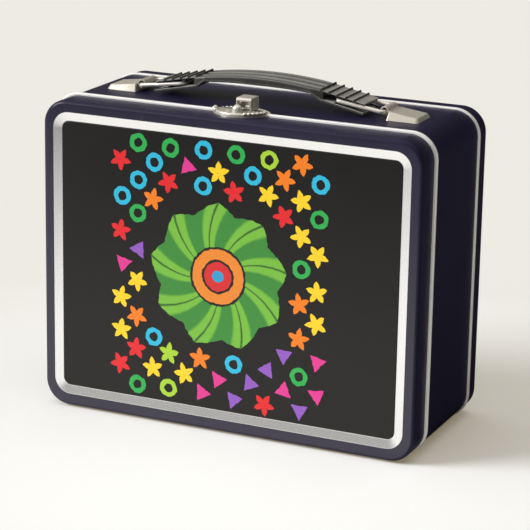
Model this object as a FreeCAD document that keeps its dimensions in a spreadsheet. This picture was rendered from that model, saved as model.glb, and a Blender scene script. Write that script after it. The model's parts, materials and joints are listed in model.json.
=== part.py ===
import FreeCAD
import Part
import Sketcher
import math
import os
import re

# Metal lunch box: a drawn lid hinged at the bottom of a seamed case, a snap clasp and a lifting handle.
# X runs along the width, Y from the lid to the back, Z up; the origin is under the middle of the case.

DIMENSIONS = {
    # case
    "case_width": 200.0,
    "case_height": 157.6,
    "case_depth": 88.0,
    "corner_radius": 12.5,
    "edge_radius": 2.0,
    "sheet_thickness": 0.4,
    "foot_height": 0.85,
    # lid edge and parting
    "lid_depth": 14.7,
    "bead_width": 2.3,
    "bead_height": 1.3,
    "parting_gap": 0.3,
    "neck_depth": 4.5,
    "neck_clearance": 0.35,
    # back pan
    "back_depth": 11.2,
    "seam_width": 2.3,
    "seam_lap": 1.1,
    # pressed frame and the panel set in it
    "recess_width": 188.9,
    "recess_height": 145.8,
    "recess_rise": 0.4,
    "recess_radius": 8.5,
    "recess_slope": 4.5,
    "recess_depth": 1.0,
    "panel_thickness": 0.35,
    "panel_clearance": 0.3,
    # handle lugs
    "lug_margin": 16.6,
    "lug_length": 16.4,
    "lug_width": 18.4,
    "lug_height": 4.5,
    "lug_tail_height": 2.1,
    "lug_taper": 1.2,
    "lug_sheet": 0.8,
    "lug_inner_corner": 0.32,
    "roll_offset": 1.8,
    "roll_height": 3.5,
    "roll_radius": 2.2,
    "roll_length": 11.8,
    "claw_width": 6.0,
    "claw_reach": 4.0,
    "claw_clearance": 0.15,
    "backing_thickness": 0.8,
    "backing_border": 2.0,
    # wire loops
    "wire_diameter": 2.0,
    "wire_clearance": 0.06,
    "loop_length": 24.2,
    "loop_spacing": 16.0,
    "loop_corner": 2.0,
    "loop_rest_angle": 8.0,
    # grip
    "grip_width": 21.0,
    "grip_crown": 13.9,
    "grip_thickness": 2.3,
    "grip_base_thickness": 1.1,
    "shoulder_drop": 1.1,
    "shoulder_run": 6.0,
    "tongue_slope": 0.2,
    "tongue_setback": 9.2,
    "tongue_plate": 1.25,
    "slot_height": 2.9,
    "slot_rise": 0.1,
    "slot_inner_room": 6.7,
    "bar_travel": 5.9,
    "wire_room": 0.4,
    "wire_channel": 0.7,
    "post_length": 2.4,
    "post_width": 12.0,
    "post_clearance": 0.1,
    "rib_height": 0.9,
    "rib_width": 1.0,
    "rib_pitch": 4.35,
    "rib_setback": 1.2,
    "rib_count": 5,
    # clasp
    "latch_offset": -0.4,
    "latch_half_width": 13.7,
    "plate_shoulder": 2.5,
    "hood_shift": 3.25,
    "latch_reach": 9.5,
    "latch_plate": 0.8,
    "scallop_radius": 1.2,
    "scallop_height": 1.3,
    "scallop_count": 9,
    "keeper_reach": 11.6,
    "keeper_plate_thickness": 0.7,
    "keeper_edge": 1.2,
    "dome_radius": 2.8,
    "dome_setback": 7.5,
    "dome_shift": 2.0,
    "dome_height": 4.7,
    "hood_width": 8.0,
    "hood_wall": 0.6,
    "hood_front": 4.8,
    "hood_bottom": 2.3,
    "hood_top": 8.3,
    "hood_lip": 1.7,
    "hood_edge_radius": 1.2,
    "pivot_setback": 3.6,
    "pivot_height": 2.7,
    "pivot_eye": 1.4,
    "latch_pin_radius": 0.7,
    "latch_pin_clearance": 0.05,
    "ear_thickness": 0.8,
    "ear_gap": 0.25,
    "dimple_radius": 0.6,
    "hood_heel": 0.98,
    "hood_lean": 0.47,
    # bottom hinges
    "hinge_margin": 38.0,
    "hinge_width": 24.0,
    "hinge_leaf_length": 9.0,
    "hinge_leaf_thickness": 0.7,
    "knuckle_radius": 1.3,
    "knuckle_length": 8.0,
    "knuckle_gap": 0.2,
    "knuckle_root": 0.91,
    "hinge_pin_radius": 0.65,
    "hinge_pin_clearance": 0.05,
    "hinge_room": 0.4,
    "bottom_relief": 0.7,
    # rivets
    "rivet_shank_radius": 0.8,
    "rivet_head_radius": 1.4,
    "rivet_head_height": 0.5,
    "rivet_spread": 7.5,
    "keeper_rivet_spread": 5.6,
    "latch_rivet_spread": 6.6,
    "latch_rivet_setback": 3.04,
    "hinge_rivet_setback": 5.4,
    "rivet_hole_clearance": 0.05,
}

doc = FreeCAD.newDocument("metal_lunch_box")
sheet = doc.addObject("Spreadsheet::Sheet", "Dims")
for row, (alias, size) in enumerate(DIMENSIONS.items(), start=1):
    sheet.set(f"A{row}", alias)
    sheet.set(f"B{row}", str(size))
    sheet.setAlias(f"B{row}", alias)
doc.recompute()

ALIAS = re.compile(r"\b(" + "|".join(DIMENSIONS) + r")\b")


def bound(text):
    """The same formula, as an object outside the sheet has to write it."""
    return ALIAS.sub(r"Dims.\1", text)


def value(text):
    return float(sheet.evalExpression(text))


# Places that several pieces share, as formulas of the sheet's values
FRONT = "(-case_depth / 2)"
BACK = "(case_depth / 2)"
MIDDLE_Z = "(foot_height + case_height / 2)"
TOP_Z = "(foot_height + case_height)"
FLOOR_Z = "(foot_height + sheet_thickness)"
LID_EDGE_Y = f"({FRONT} + lid_depth + bead_width)"
BAND_EDGE_Y = f"({LID_EDGE_Y} + parting_gap)"
PARTING_Y = f"({LID_EDGE_Y} + parting_gap / 2)"
NECK_FRONT_Y = f"({BAND_EDGE_Y} - neck_depth)"
SEAM_BACK_Y = f"({BACK} - back_depth)"
SEAM_FRONT_Y = f"({SEAM_BACK_Y} - seam_width)"
BAND_BACK_Y = f"({SEAM_FRONT_Y} + seam_lap)"
NECK_OUTER = "(sheet_thickness + neck_clearance)"
NECK_INNER = f"({NECK_OUTER} + sheet_thickness)"

LUG_END_X = "(case_width / 2 - lug_margin)"
LUG_START_X = f"({LUG_END_X} - lug_length)"
ROLL_X = f"({LUG_START_X} - roll_offset)"
BAR_X = f"({ROLL_X} - loop_length * cos(loop_rest_angle))"
BAR_H = "(roll_height + loop_length * sin(loop_rest_angle))"
TONGUE_END_X = f"({ROLL_X} - tongue_setback)"
SLOT_START_X = f"({BAR_X} - slot_inner_room)"
SHOULDER_X = f"({SLOT_START_X} - shoulder_run)"
POST_X = f"({BAR_X} + bar_travel + wire_diameter / 2)"
CLAW_Y = "(lug_width / 2 - lug_sheet)"
CLAW_X = "(lug_length / 2)"

PIVOT_Y = f"({PARTING_Y} + pivot_setback)"
DOME_Y = f"({PARTING_Y} - dome_setback)"
HOOD_FRONT_Y = f"({PARTING_Y} - hood_front)"
HOOD_INNER = "(hood_width - 2 * hood_wall)"
HOOD_X = "(latch_offset + hood_shift)"
DOME_X = f"({HOOD_X} - dome_shift)"
KEEPER_TOP = "(bead_height + keeper_plate_thickness)"
KEEPER_RIVET_Y = f"({NECK_FRONT_Y} - rivet_head_radius - parting_gap)"
LATCH_RIVET_Y = f"({BAND_EDGE_Y} + latch_rivet_setback)"

HINGE_X = "(case_width / 2 - hinge_margin)"
KNUCKLE_OUT = "(knuckle_radius + hinge_room)"


def new_body(label):
    body = doc.addObject("PartDesign::Body", label)
    body.Label = label
    return body


def new_sketch(body, name, plane, shift):
    """A sketch on one of the body's own planes, moved by shift in the sketch's own x, y and z."""
    drawn = body.newObject("Sketcher::SketchObject", f"{body.Label}_{name}")
    support = [part for part in body.Origin.OriginFeatures if part.Role == plane][0]
    drawn.AttachmentSupport = [(support, "")]
    drawn.MapMode = "FlatFace"
    for axis, text in zip("xyz", shift):
        drawn.setExpression(f"AttachmentOffset.Base.{axis}", bound(text))
    return drawn


def constrain(drawn, text, kind, *where):
    """A dimension of the sketch that follows a formula."""
    index = drawn.addConstraint(Sketcher.Constraint(kind, *where, value(text)))
    name = f"size{index}"
    drawn.renameConstraint(index, name)
    drawn.setExpression(f"Constraints.{name}", bound(text))


def rounded_rectangle(drawn, half_width, up, down, radius):
    """A rectangle with round corners about the sketch's origin."""
    x, top, low, r = (value(text) for text in (half_width, up, down, radius))
    first = drawn.GeometryCount
    lines = (((r - x, -low), (x - r, -low)), ((x, r - low), (x, top - r)),
             ((x - r, top), (r - x, top)), ((-x, top - r), (-x, r - low)))
    centres = ((x - r, r - low), (x - r, top - r), (r - x, top - r), (r - x, r - low))
    for start, end in lines:
        drawn.addGeometry(Part.LineSegment(FreeCAD.Vector(*start, 0), FreeCAD.Vector(*end, 0)))
    for turn, centre in enumerate(centres):
        circle = Part.Circle(FreeCAD.Vector(*centre, 0), FreeCAD.Vector(0, 0, 1), r)
        start_angle = math.radians(270 + 90 * turn)
        drawn.addGeometry(Part.ArcOfCircle(circle, start_angle, start_angle + math.pi / 2))
    bottom, right, upper, left = range(first, first + 4)
    arcs = range(first + 4, first + 8)
    for turn, arc in enumerate(arcs):
        drawn.addConstraint(Sketcher.Constraint("Tangent", first + turn, 2, arc, 1))
        drawn.addConstraint(Sketcher.Constraint("Tangent", arc, 2, first + (turn + 1) % 4, 1))
    for line in (bottom, upper):
        drawn.addConstraint(Sketcher.Constraint("Horizontal", line))
    for line in (right, left):
        drawn.addConstraint(Sketcher.Constraint("Vertical", line))
    for arc in arcs[1:]:
        drawn.addConstraint(Sketcher.Constraint("Equal", arcs[0], arc))
    constrain(drawn, radius, "Radius", arcs[0])
    constrain(drawn, half_width, "DistanceX", -1, 1, right, 1)
    constrain(drawn, half_width, "DistanceX", left, 1, -1, 1)
    constrain(drawn, up, "DistanceY", -1, 1, upper, 1)
    constrain(drawn, down, "DistanceY", bottom, 1, -1, 1)


def pin_point(drawn, geometry, end, point):
    """Fixes one end of a line or arc at formulas for its x and y."""
    for kind, text, axis in (("DistanceX", point[0], -2), ("DistanceY", point[1], -1)):
        if abs(value(text)) < 1e-9:
            drawn.addConstraint(Sketcher.Constraint("PointOnObject", geometry, end, axis))
        else:
            constrain(drawn, text, kind, -1, 1, geometry, end)


def arc_geometry(start, end, radius, turns_left):
    """The arc of less than half a circle from start to end, bending to the left or to the right."""
    chord = end - start
    left = FreeCAD.Vector(-chord.y, chord.x, 0).normalize()
    reach = math.sqrt(radius ** 2 - (chord.Length / 2) ** 2)
    centre = (start + end) * 0.5 + left * (reach if turns_left else -reach)
    begin, finish = (start, end) if turns_left else (end, start)
    begin_angle = math.atan2(begin.y - centre.y, begin.x - centre.x)
    finish_angle = math.atan2(finish.y - centre.y, finish.x - centre.x)
    if finish_angle < begin_angle:
        finish_angle += 2 * math.pi
    return Part.ArcOfCircle(Part.Circle(centre, FreeCAD.Vector(0, 0, 1), radius), begin_angle, finish_angle)


def outline(drawn, points, arcs=None):
    """A closed outline through the points; arcs gives (radius, turns_left) for each run that is round."""
    arcs = arcs or {}
    spots = [FreeCAD.Vector(value(x), value(y), 0) for x, y in points]
    first = drawn.GeometryCount
    count = len(points)
    ends = []
    for index in range(count):
        start, end = spots[index], spots[(index + 1) % count]
        if index in arcs:
            radius, turns_left = arcs[index]
            drawn.addGeometry(arc_geometry(start, end, value(radius), turns_left))
            ends.append((1, 2) if turns_left else (2, 1))
        else:
            drawn.addGeometry(Part.LineSegment(start, end))
            ends.append((1, 2))
    for index in range(count):
        following = (index + 1) % count
        drawn.addConstraint(Sketcher.Constraint("Coincident", first + index, ends[index][1],
                                                first + following, ends[following][0]))
    for index in range(count):
        pin_point(drawn, first + index, ends[index][0], points[index])
        if index in arcs:
            constrain(drawn, arcs[index][0], "Radius", first + index)


def rectangle(drawn, x_low, x_high, y_low, y_high):
    outline(drawn, [(x_low, y_low), (x_high, y_low), (x_high, y_high), (x_low, y_high)])


def disc(drawn, x, y, radius):
    circle = Part.Circle(FreeCAD.Vector(value(x), value(y), 0), FreeCAD.Vector(0, 0, 1), value(radius))
    index = drawn.addGeometry(circle)
    constrain(drawn, radius, "Radius", index)
    pin_point(drawn, index, 3, (x, y))


def pad(body, drawn, length, symmetric=False, kind="PartDesign::Pad"):
    feature = body.newObject(kind, f"{drawn.Name}_solid")
    feature.Profile = drawn
    feature.setExpression("Length", bound(length))
    if symmetric:
        feature.SideType = "Symmetric"
    doc.recompute()
    return feature


def pocket(body, drawn, length, symmetric=False):
    before = body.Shape.Volume
    feature = pad(body, drawn, length, symmetric, "PartDesign::Pocket")
    if body.Shape.Volume > before - 1e-6:
        raise RuntimeError(f"{drawn.Name} removes nothing")
    return feature


def dress(body, kind, chosen, size_name, size):
    """A fillet, chamfer or thickness on the chosen edges or faces of the body as it stands."""
    solid = body.Tip
    feature = body.newObject(f"PartDesign::{kind}", f"{body.Label}_{kind.lower()}")
    feature.Base = (solid, chosen)
    feature.setExpression(size_name, bound(size))
    return feature


def edges_where(body, test):
    return [f"Edge{index}" for index, edge in enumerate(body.Tip.Shape.Edges, start=1) if test(edge)]


def wall_sketch(body, name, y, z=MIDDLE_Z):
    """A sketch square to Y; its x is X and its y is the height above z."""
    return new_sketch(body, name, "XZ_Plane", ("0", z, f"-({y})"))


def case_outline(drawn, inset):
    rounded_rectangle(drawn, f"case_width / 2 - ({inset})", f"case_height / 2 - ({inset})",
                      f"case_height / 2 - ({inset})", f"corner_radius - ({inset})")


def recess_outline(drawn, inset):
    rounded_rectangle(drawn, f"recess_width / 2 - ({inset})",
                      f"recess_height / 2 + recess_rise - ({inset})",
                      f"recess_height / 2 - recess_rise - ({inset})", f"recess_radius - ({inset})")


def case_ring(body, name, outer, inner, y_low, y_high):
    """A band of the case's outline between two insets."""
    drawn = wall_sketch(body, name, y_high)
    case_outline(drawn, outer)
    case_outline(drawn, inner)
    pad(body, drawn, f"({y_high}) - ({y_low})")


def box_pocket(body, name, x_range, y_range, z_range):
    """A rectangular cut; its sketch lies at the top and the cut runs down."""
    drawn = new_sketch(body, name, "XY_Plane", ("0", "0", z_range[1]))
    rectangle(drawn, *x_range, *y_range)
    pocket(body, drawn, f"({z_range[1]}) - ({z_range[0]})")


def hole_pocket(body, name, spots, radius, z_range):
    """Round holes along Z."""
    drawn = new_sketch(body, name, "XY_Plane", ("0", "0", z_range[1]))
    for x, y in spots:
        disc(drawn, x, y, radius)
    pocket(body, drawn, f"({z_range[1]}) - ({z_range[0]})")


def rivet_holes(body, spots, z_range):
    hole_pocket(body, "rivet_holes", spots, "rivet_shank_radius + rivet_hole_clearance", z_range)


def rivet_seats(body, spots, top):
    """Holes whose wider mouths let the rivet heads lie flush with the plate."""
    rivet_holes(body, spots, (f"{TOP_Z} - rivet_head_height", top))
    hole_pocket(body, "rivet_mouths", spots, "rivet_head_radius + rivet_hole_clearance",
                (f"{top} - rivet_head_height", top))


def clasp_spots(middle, spread, y):
    return [(f"{middle} + {turn} * {spread}", y) for turn in (-1, 1)]


KEEPER_SPOTS = clasp_spots(DOME_X, "keeper_rivet_spread", KEEPER_RIVET_Y)
LATCH_SPOTS = clasp_spots(HOOD_X, "latch_rivet_spread", LATCH_RIVET_Y)


def drawn_pan(body, face_y, inward, depth):
    """A pressed pan: rounded outer edge, side wall, and a framed recess in its face."""
    def at(distance):
        return f"({face_y} + ({distance}) * {inward})"

    def between(near, far):
        return (at(near), at(far)) if inward > 0 else (at(far), at(near))

    low, high = between("0", depth)
    block = wall_sketch(body, "block", high)
    case_outline(block, "0")
    pad(body, block, f"{high} - {low}")
    face = value(face_y)
    edges = edges_where(body, lambda edge: max(abs(edge.BoundBox.YMin - face),
                                               abs(edge.BoundBox.YMax - face)) < 1e-3)
    dress(body, "Fillet", edges, "Radius", "edge_radius")
    doc.recompute()
    low, high = between("recess_depth + sheet_thickness", depth)
    inside = wall_sketch(body, "inside", low)
    case_outline(inside, "sheet_thickness")
    pocket(body, inside, f"{high} - {low}")
    low, high = between("sheet_thickness", "recess_depth + sheet_thickness")
    rim = wall_sketch(body, "rim", low)
    case_outline(rim, "edge_radius")
    recess_outline(rim, "-sheet_thickness")
    pocket(body, rim, f"{high} - {low}")
    mouth = wall_sketch(body, "mouth", at("0"))
    recess_outline(mouth, "0")
    floor = wall_sketch(body, "floor", at("recess_depth"))
    recess_outline(floor, "recess_slope")
    before = body.Shape.Volume
    loft = body.newObject("PartDesign::SubtractiveLoft", f"{body.Label}_recess")
    loft.Profile = mouth
    loft.Sections = [floor]
    doc.recompute()
    if body.Shape.Volume > before - 1e-6:
        raise RuntimeError(f"{body.Label} has no recess")


def hinge_rivet_spots(swing):
    """Each rivet of the two hinges; swing is 1 for those in the case and -1 for the lid's."""
    y = f"{PARTING_Y} + {swing} * hinge_rivet_setback"
    return [(f"{side} * {HINGE_X} + {turn} * rivet_spread", y) for side in (-1, 1) for turn in (-1, 1)]


def build_lid_shell():
    body = new_body("lid_shell")
    drawn_pan(body, FRONT, 1, "lid_depth + bead_width")
    bead = wall_sketch(body, "bead", LID_EDGE_Y)
    rounded_rectangle(bead, "case_width / 2 + bead_height", "case_height / 2 + bead_height",
                      "case_height / 2", "corner_radius + bead_height / 2")
    case_outline(bead, "sheet_thickness")
    pad(body, bead, "bead_width")
    foot = "(case_width / 2 - corner_radius / 2)"
    box_pocket(body, "bottom_edge", (f"-{foot}", foot),
               (f"{LID_EDGE_Y} - bottom_relief", f"{LID_EDGE_Y} + parting_gap"),
               ("-foot_height", "knuckle_radius + sheet_thickness / 4"))
    for side in (-1, 1):
        centre = f"({side} * {HINGE_X})"
        reach = "(hinge_width / 2 + hinge_room)"
        box_pocket(body, f"hinge_window{side + 2}", (f"{centre} - {reach}", f"{centre} + {reach}"),
                   (f"{PARTING_Y} - {KNUCKLE_OUT}", f"{LID_EDGE_Y} + parting_gap"),
                   ("-foot_height", f"{FLOOR_Z} + sheet_thickness"))
    radius = "rivet_shank_radius + rivet_hole_clearance"
    hole_pocket(body, "hinge_holes", hinge_rivet_spots(-1), radius,
                ("-foot_height", f"{FLOOR_Z} + sheet_thickness"))
    hole_pocket(body, "keeper_holes", KEEPER_SPOTS, radius,
                (f"{TOP_Z} - 2 * sheet_thickness", f"{TOP_Z} + bead_height"))
    return body


def build_front_panel():
    body = new_body("front_panel")
    sheet_outline = wall_sketch(body, "sheet", f"{FRONT} + recess_depth")
    recess_outline(sheet_outline, "recess_slope + panel_clearance")
    pad(body, sheet_outline, "panel_thickness")
    return body


def build_side_band():
    body = new_body("side_band")
    case_ring(body, "wall", "0", "sheet_thickness", BAND_EDGE_Y, BAND_BACK_Y)
    case_ring(body, "step", "0", NECK_INNER, BAND_EDGE_Y, f"{BAND_EDGE_Y} + sheet_thickness")
    case_ring(body, "neck", NECK_OUTER, NECK_INNER, NECK_FRONT_Y, f"{BAND_EDGE_Y} + sheet_thickness")
    for side in (-1, 1):
        centre = f"({side} * {HINGE_X})"
        reach = "(hinge_width / 2 + hinge_room)"
        box_pocket(body, f"hinge_window{side + 2}", (f"{centre} - {reach}", f"{centre} + {reach}"),
                   (f"{NECK_FRONT_Y} - parting_gap", f"{PARTING_Y} + {KNUCKLE_OUT}"),
                   ("-foot_height", f"{FLOOR_Z} + 2 * {NECK_INNER}"))
        for end in (-1, 1):
            x = f"({side} * ({LUG_START_X} + {CLAW_X}))"
            y = f"({end} * ({CLAW_Y} + lug_sheet / 2))"
            half_x = "(claw_width / 2 + claw_clearance)"
            half_y = "(lug_sheet / 2 + claw_clearance)"
            box_pocket(body, f"claw_slot{side + 2}{end + 2}", (f"{x} - {half_x}", f"{x} + {half_x}"),
                       (f"{y} - {half_y}", f"{y} + {half_y}"),
                       (f"{TOP_Z} - 2 * sheet_thickness", f"{TOP_Z} + sheet_thickness"))
    radius = "rivet_shank_radius + rivet_hole_clearance"
    hole_pocket(body, "hinge_holes", hinge_rivet_spots(1), radius,
                ("-foot_height", f"{FLOOR_Z} + sheet_thickness"))
    hole_pocket(body, "latch_holes", LATCH_SPOTS, radius,
                (f"{TOP_Z} - 2 * sheet_thickness", f"{TOP_Z} + sheet_thickness"))
    return body


def build_back_cover():
    body = new_body("back_cover")
    drawn_pan(body, BACK, -1, "back_depth")
    case_ring(body, "seam", "-foot_height", "sheet_thickness", BAND_BACK_Y, SEAM_BACK_Y)
    case_ring(body, "seam_lip", "-foot_height", "0", SEAM_FRONT_Y, BAND_BACK_Y)
    return body


def half_turn(body, side):
    """The left-hand copy of a handle piece is the right-hand one turned about the handle's middle."""
    if side < 0:
        body.Placement = FreeCAD.Placement(FreeCAD.Vector(), FreeCAD.Rotation(FreeCAD.Vector(0, 0, 1), 180))


def build_handle_lug(label, side):
    body = new_body(label)
    plan = new_sketch(body, "plan", "XY_Plane", (LUG_START_X, "0", TOP_Z))
    shoulder = "(lug_length - lug_taper)"
    half = "(lug_width / 2)"
    tail = "(lug_width / 2 - lug_taper)"
    outline(plan, [("0", f"-{half}"), (shoulder, f"-{half}"), ("lug_length", f"-{tail}"),
                   ("lug_length", tail), (shoulder, half), ("0", half)])
    pad(body, plan, "lug_height")
    slope = new_sketch(body, "slope", "XZ_Plane", (LUG_START_X, TOP_Z, "0"))
    fall = "((lug_height - lug_tail_height) / lug_length)"
    outline(slope, [("0", "lug_height"), ("lug_length", "lug_tail_height"),
                    ("lug_length", "2 * lug_height"), ("0", "2 * lug_height")])
    pocket(body, slope, "2 * lug_width", symmetric=True)
    for name, x_high, width in (("middle", f"({shoulder} - lug_inner_corner)", "lug_width - 2 * lug_sheet"),
                                ("tail", "(lug_length - lug_sheet)", f"2 * ({tail} - lug_inner_corner)")):
        hollow = new_sketch(body, f"hollow_{name}", "XZ_Plane", (LUG_START_X, TOP_Z, "0"))
        outline(hollow, [("lug_sheet", "0"), (x_high, "0"),
                         (x_high, f"lug_height - lug_sheet - {fall} * {x_high}"),
                         ("lug_sheet", f"lug_height - lug_sheet - {fall} * lug_sheet")])
        pocket(body, hollow, width, symmetric=True)
    roll = new_sketch(body, "roll", "XZ_Plane", (ROLL_X, TOP_Z, "0"))
    disc(roll, "0", "roll_height", "roll_radius")
    disc(roll, "0", "roll_height", "wire_diameter / 2 + wire_clearance")
    pad(body, roll, "roll_length", symmetric=True)
    for end in (-1, 1):
        claw = new_sketch(body, f"claw{end + 2}", "YZ_Plane", ("0", TOP_Z, f"{LUG_START_X} + {CLAW_X}"))
        inner = f"({end} * {CLAW_Y})"
        outer = f"({end} * {CLAW_Y} + {end} * lug_sheet)"
        tip = f"({end} * {CLAW_Y} - {end} * claw_reach)"
        under = "(-sheet_thickness - backing_thickness)"
        outline(claw, [(outer, "lug_sheet"), (outer, f"{under} - lug_sheet"), (tip, f"{under} - lug_sheet"),
                       (tip, under), (inner, under), (inner, "lug_sheet")])
        pad(body, claw, "claw_width", symmetric=True)
    half_turn(body, side)
    return body


def build_lug_backing(label, side):
    body = new_body(label)
    plate = new_sketch(body, "plate", "XY_Plane",
                       (f"{LUG_START_X} + {CLAW_X}", "0", f"{TOP_Z} - sheet_thickness - backing_thickness"))
    half_x = "(claw_width / 2 + backing_border)"
    half_y = "(lug_width / 2 + backing_border)"
    rectangle(plate, f"-{half_x}", half_x, f"-{half_y}", half_y)
    for end in (-1, 1):
        y = f"({end} * ({CLAW_Y} + lug_sheet / 2))"
        slot_x = "(claw_width / 2 + claw_clearance)"
        slot_y = "(lug_sheet / 2 + claw_clearance)"
        rectangle(plate, f"-{slot_x}", slot_x, f"{y} - {slot_y}", f"{y} + {slot_y}")
    pad(body, plate, "backing_thickness")
    half_turn(body, side)
    return body


def build_wire_loop(label, side):
    """A closed ring of round wire, hung in the lug's eye and in the grip's slot."""
    body = new_body(label)
    path = new_sketch(body, "path", "XY_Plane", ("-loop_length / 2", "0", "0"))
    rounded_rectangle(path, "loop_length / 2", "loop_spacing / 2", "loop_spacing / 2", "loop_corner")
    section = new_sketch(body, "section", "YZ_Plane", ("-loop_spacing / 2", "0", "-loop_length / 2"))
    disc(section, "0", "0", "wire_diameter / 2")
    pipe = body.newObject("PartDesign::AdditivePipe", f"{label}_wire")
    pipe.Profile = section
    pipe.Spine = (path, [])
    doc.recompute()
    turn = FreeCAD.Rotation(FreeCAD.Vector(0, 0, 1), 0 if side > 0 else 180)
    tilt = FreeCAD.Rotation(FreeCAD.Vector(0, 1, 0), value("loop_rest_angle"))
    body.Placement = FreeCAD.Placement(FreeCAD.Vector(), turn * tilt)
    body.setExpression("Placement.Base.x", bound(f"{side} * {ROLL_X}"))
    body.setExpression("Placement.Base.z", bound(f"{TOP_Z} + roll_height"))
    return body


def slot_line(x, lift):
    """Height above the case of the sloped bar slot's middle at x, plus lift."""
    return f"({BAR_H} + slot_rise + ({lift}) - tongue_slope * ({x} - {BAR_X}))"


def arch_radius(half_span, rise):
    return f"((({half_span}) ^ 2 + ({rise}) ^ 2) / (2 * ({rise})))"


BASE_TOP = "(grip_crown - grip_thickness)"
SHOULDER_H = f"({BASE_TOP} - shoulder_drop)"
RAMP_FOOT_X = f"({SLOT_START_X} - shoulder_run / 4)"
SLOT_FLOOR = "-slot_height / 2"
SLOT_CEILING = "slot_height / 2"
PLATE_TOP = "slot_height / 2 + tongue_plate"
WIRE_SLOT = "(wire_diameter + 2 * wire_room)"
TONGUE_ARCH_H = slot_line(SLOT_START_X, PLATE_TOP)


def mirrored(points):
    """A left-to-right run of points, made from its right half."""
    return [(f"-{x}", height) for x, height in reversed(points)] + points


def build_grip_top():
    body = new_body("grip_top")
    side_view = new_sketch(body, "side_view", "XZ_Plane", ("0", TOP_Z, "0"))
    under = mirrored([(SHOULDER_X, SHOULDER_H), (RAMP_FOOT_X, slot_line(RAMP_FOOT_X, SLOT_FLOOR)),
                      (SLOT_START_X, slot_line(SLOT_START_X, SLOT_FLOOR)),
                      (SLOT_START_X, slot_line(SLOT_START_X, SLOT_CEILING)),
                      (TONGUE_END_X, slot_line(TONGUE_END_X, SLOT_CEILING))])
    over = mirrored([(SLOT_START_X, TONGUE_ARCH_H), (TONGUE_END_X, slot_line(TONGUE_END_X, PLATE_TOP))])
    points = under + list(reversed(over))
    inner_arch = arch_radius(SHOULDER_X, "shoulder_drop")
    outer_arch = arch_radius(SLOT_START_X, f"grip_crown - {TONGUE_ARCH_H}")
    outline(side_view, points, {4: (inner_arch, False), len(under) + 1: (outer_arch, True)})
    pad(body, side_view, "grip_width", symmetric=True)
    for side in (-1, 1):
        for end in (-1, 1):
            channel = wall_sketch(body, f"channel{side + 2}{end + 2}", f"{end} * loop_spacing / 2", TOP_Z)
            deep = f"{SLOT_CEILING} + wire_channel"
            run = [(BAR_X, SLOT_FLOOR), (TONGUE_END_X, SLOT_FLOOR), (TONGUE_END_X, deep), (BAR_X, deep)]
            outline(channel, [(f"({side} * {x})", slot_line(x, lift)) for x, lift in run])
            pocket(body, channel, WIRE_SLOT, symmetric=True)
        post = new_sketch(body, f"post{side + 2}", "XZ_Plane", ("0", TOP_Z, "0"))
        near = f"({side} * {POST_X})"
        far = f"({side} * ({POST_X} + post_length))"
        outline(post, [(near, slot_line(POST_X, f"{SLOT_FLOOR} - grip_base_thickness")),
                       (far, slot_line(f"({POST_X} + post_length)", f"{SLOT_FLOOR} - grip_base_thickness")),
                       (far, slot_line(f"({POST_X} + post_length)", PLATE_TOP)),
                       (near, slot_line(POST_X, PLATE_TOP))])
        pad(body, post, "post_width", symmetric=True)
        for index in range(int(value("rib_count"))):
            x = f"({SLOT_START_X} - rib_setback + {index} * rib_pitch)"
            rib = new_sketch(body, f"rib{side + 2}{index}", "XZ_Plane", ("0", TOP_Z, "0"))
            left = f"({x} - rib_width / 2)"
            right = f"({x} + rib_width / 2)"
            sunk = f"{PLATE_TOP} - tongue_plate / 2"
            outline(rib, [(f"({side} * {left})", slot_line(left, sunk)),
                          (f"({side} * {right})", slot_line(right, sunk)),
                          (f"({side} * {right})", slot_line(right, f"{PLATE_TOP} + rib_height")),
                          (f"({side} * {left})", slot_line(left, f"{PLATE_TOP} + rib_height"))])
            pad(body, rib, "grip_width", symmetric=True)
    return body


def build_grip_base():
    body = new_body("grip_base")
    side_view = new_sketch(body, "side_view", "XZ_Plane", ("0", TOP_Z, "0"))
    upper = mirrored([(SHOULDER_X, SHOULDER_H), (RAMP_FOOT_X, slot_line(RAMP_FOOT_X, SLOT_FLOOR)),
                      (TONGUE_END_X, slot_line(TONGUE_END_X, SLOT_FLOOR))])
    lower = [(x, f"({height} - grip_base_thickness)") for x, height in upper]
    arch = arch_radius(SHOULDER_X, "shoulder_drop")
    outline(side_view, lower + list(reversed(upper)), {2: (arch, False), 8: (arch, True)})
    pad(body, side_view, "grip_width", symmetric=True)
    for side in (-1, 1):
        near = f"({side} * ({POST_X} - post_clearance))"
        far = f"({side} * ({POST_X} + post_length + post_clearance))"
        half = "(post_width / 2 + post_clearance)"
        span = (near, far) if side > 0 else (far, near)
        box_pocket(body, f"post_hole{side + 2}", span, (f"-{half}", half), (TOP_Z, f"{TOP_Z} + {BAR_H}"))
        near = f"({side} * ({BAR_X} - wire_diameter / 2))"
        far = f"({side} * ({TONGUE_END_X} + post_length))"
        span = (near, far) if side > 0 else (far, near)
        for end in (-1, 1):
            middle = f"({end} * loop_spacing / 2)"
            box_pocket(body, f"wire_slot{side + 2}{end + 2}", span,
                       (f"{middle} - {WIRE_SLOT} / 2", f"{middle} + {WIRE_SLOT} / 2"),
                       (TOP_Z, f"{TOP_Z} + {BAR_H}"))
    return body


# A half circle has to be drawn a little flatter than its own radius to have a centre on one side
EAR_ARC = "pivot_eye * 1.001"


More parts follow.
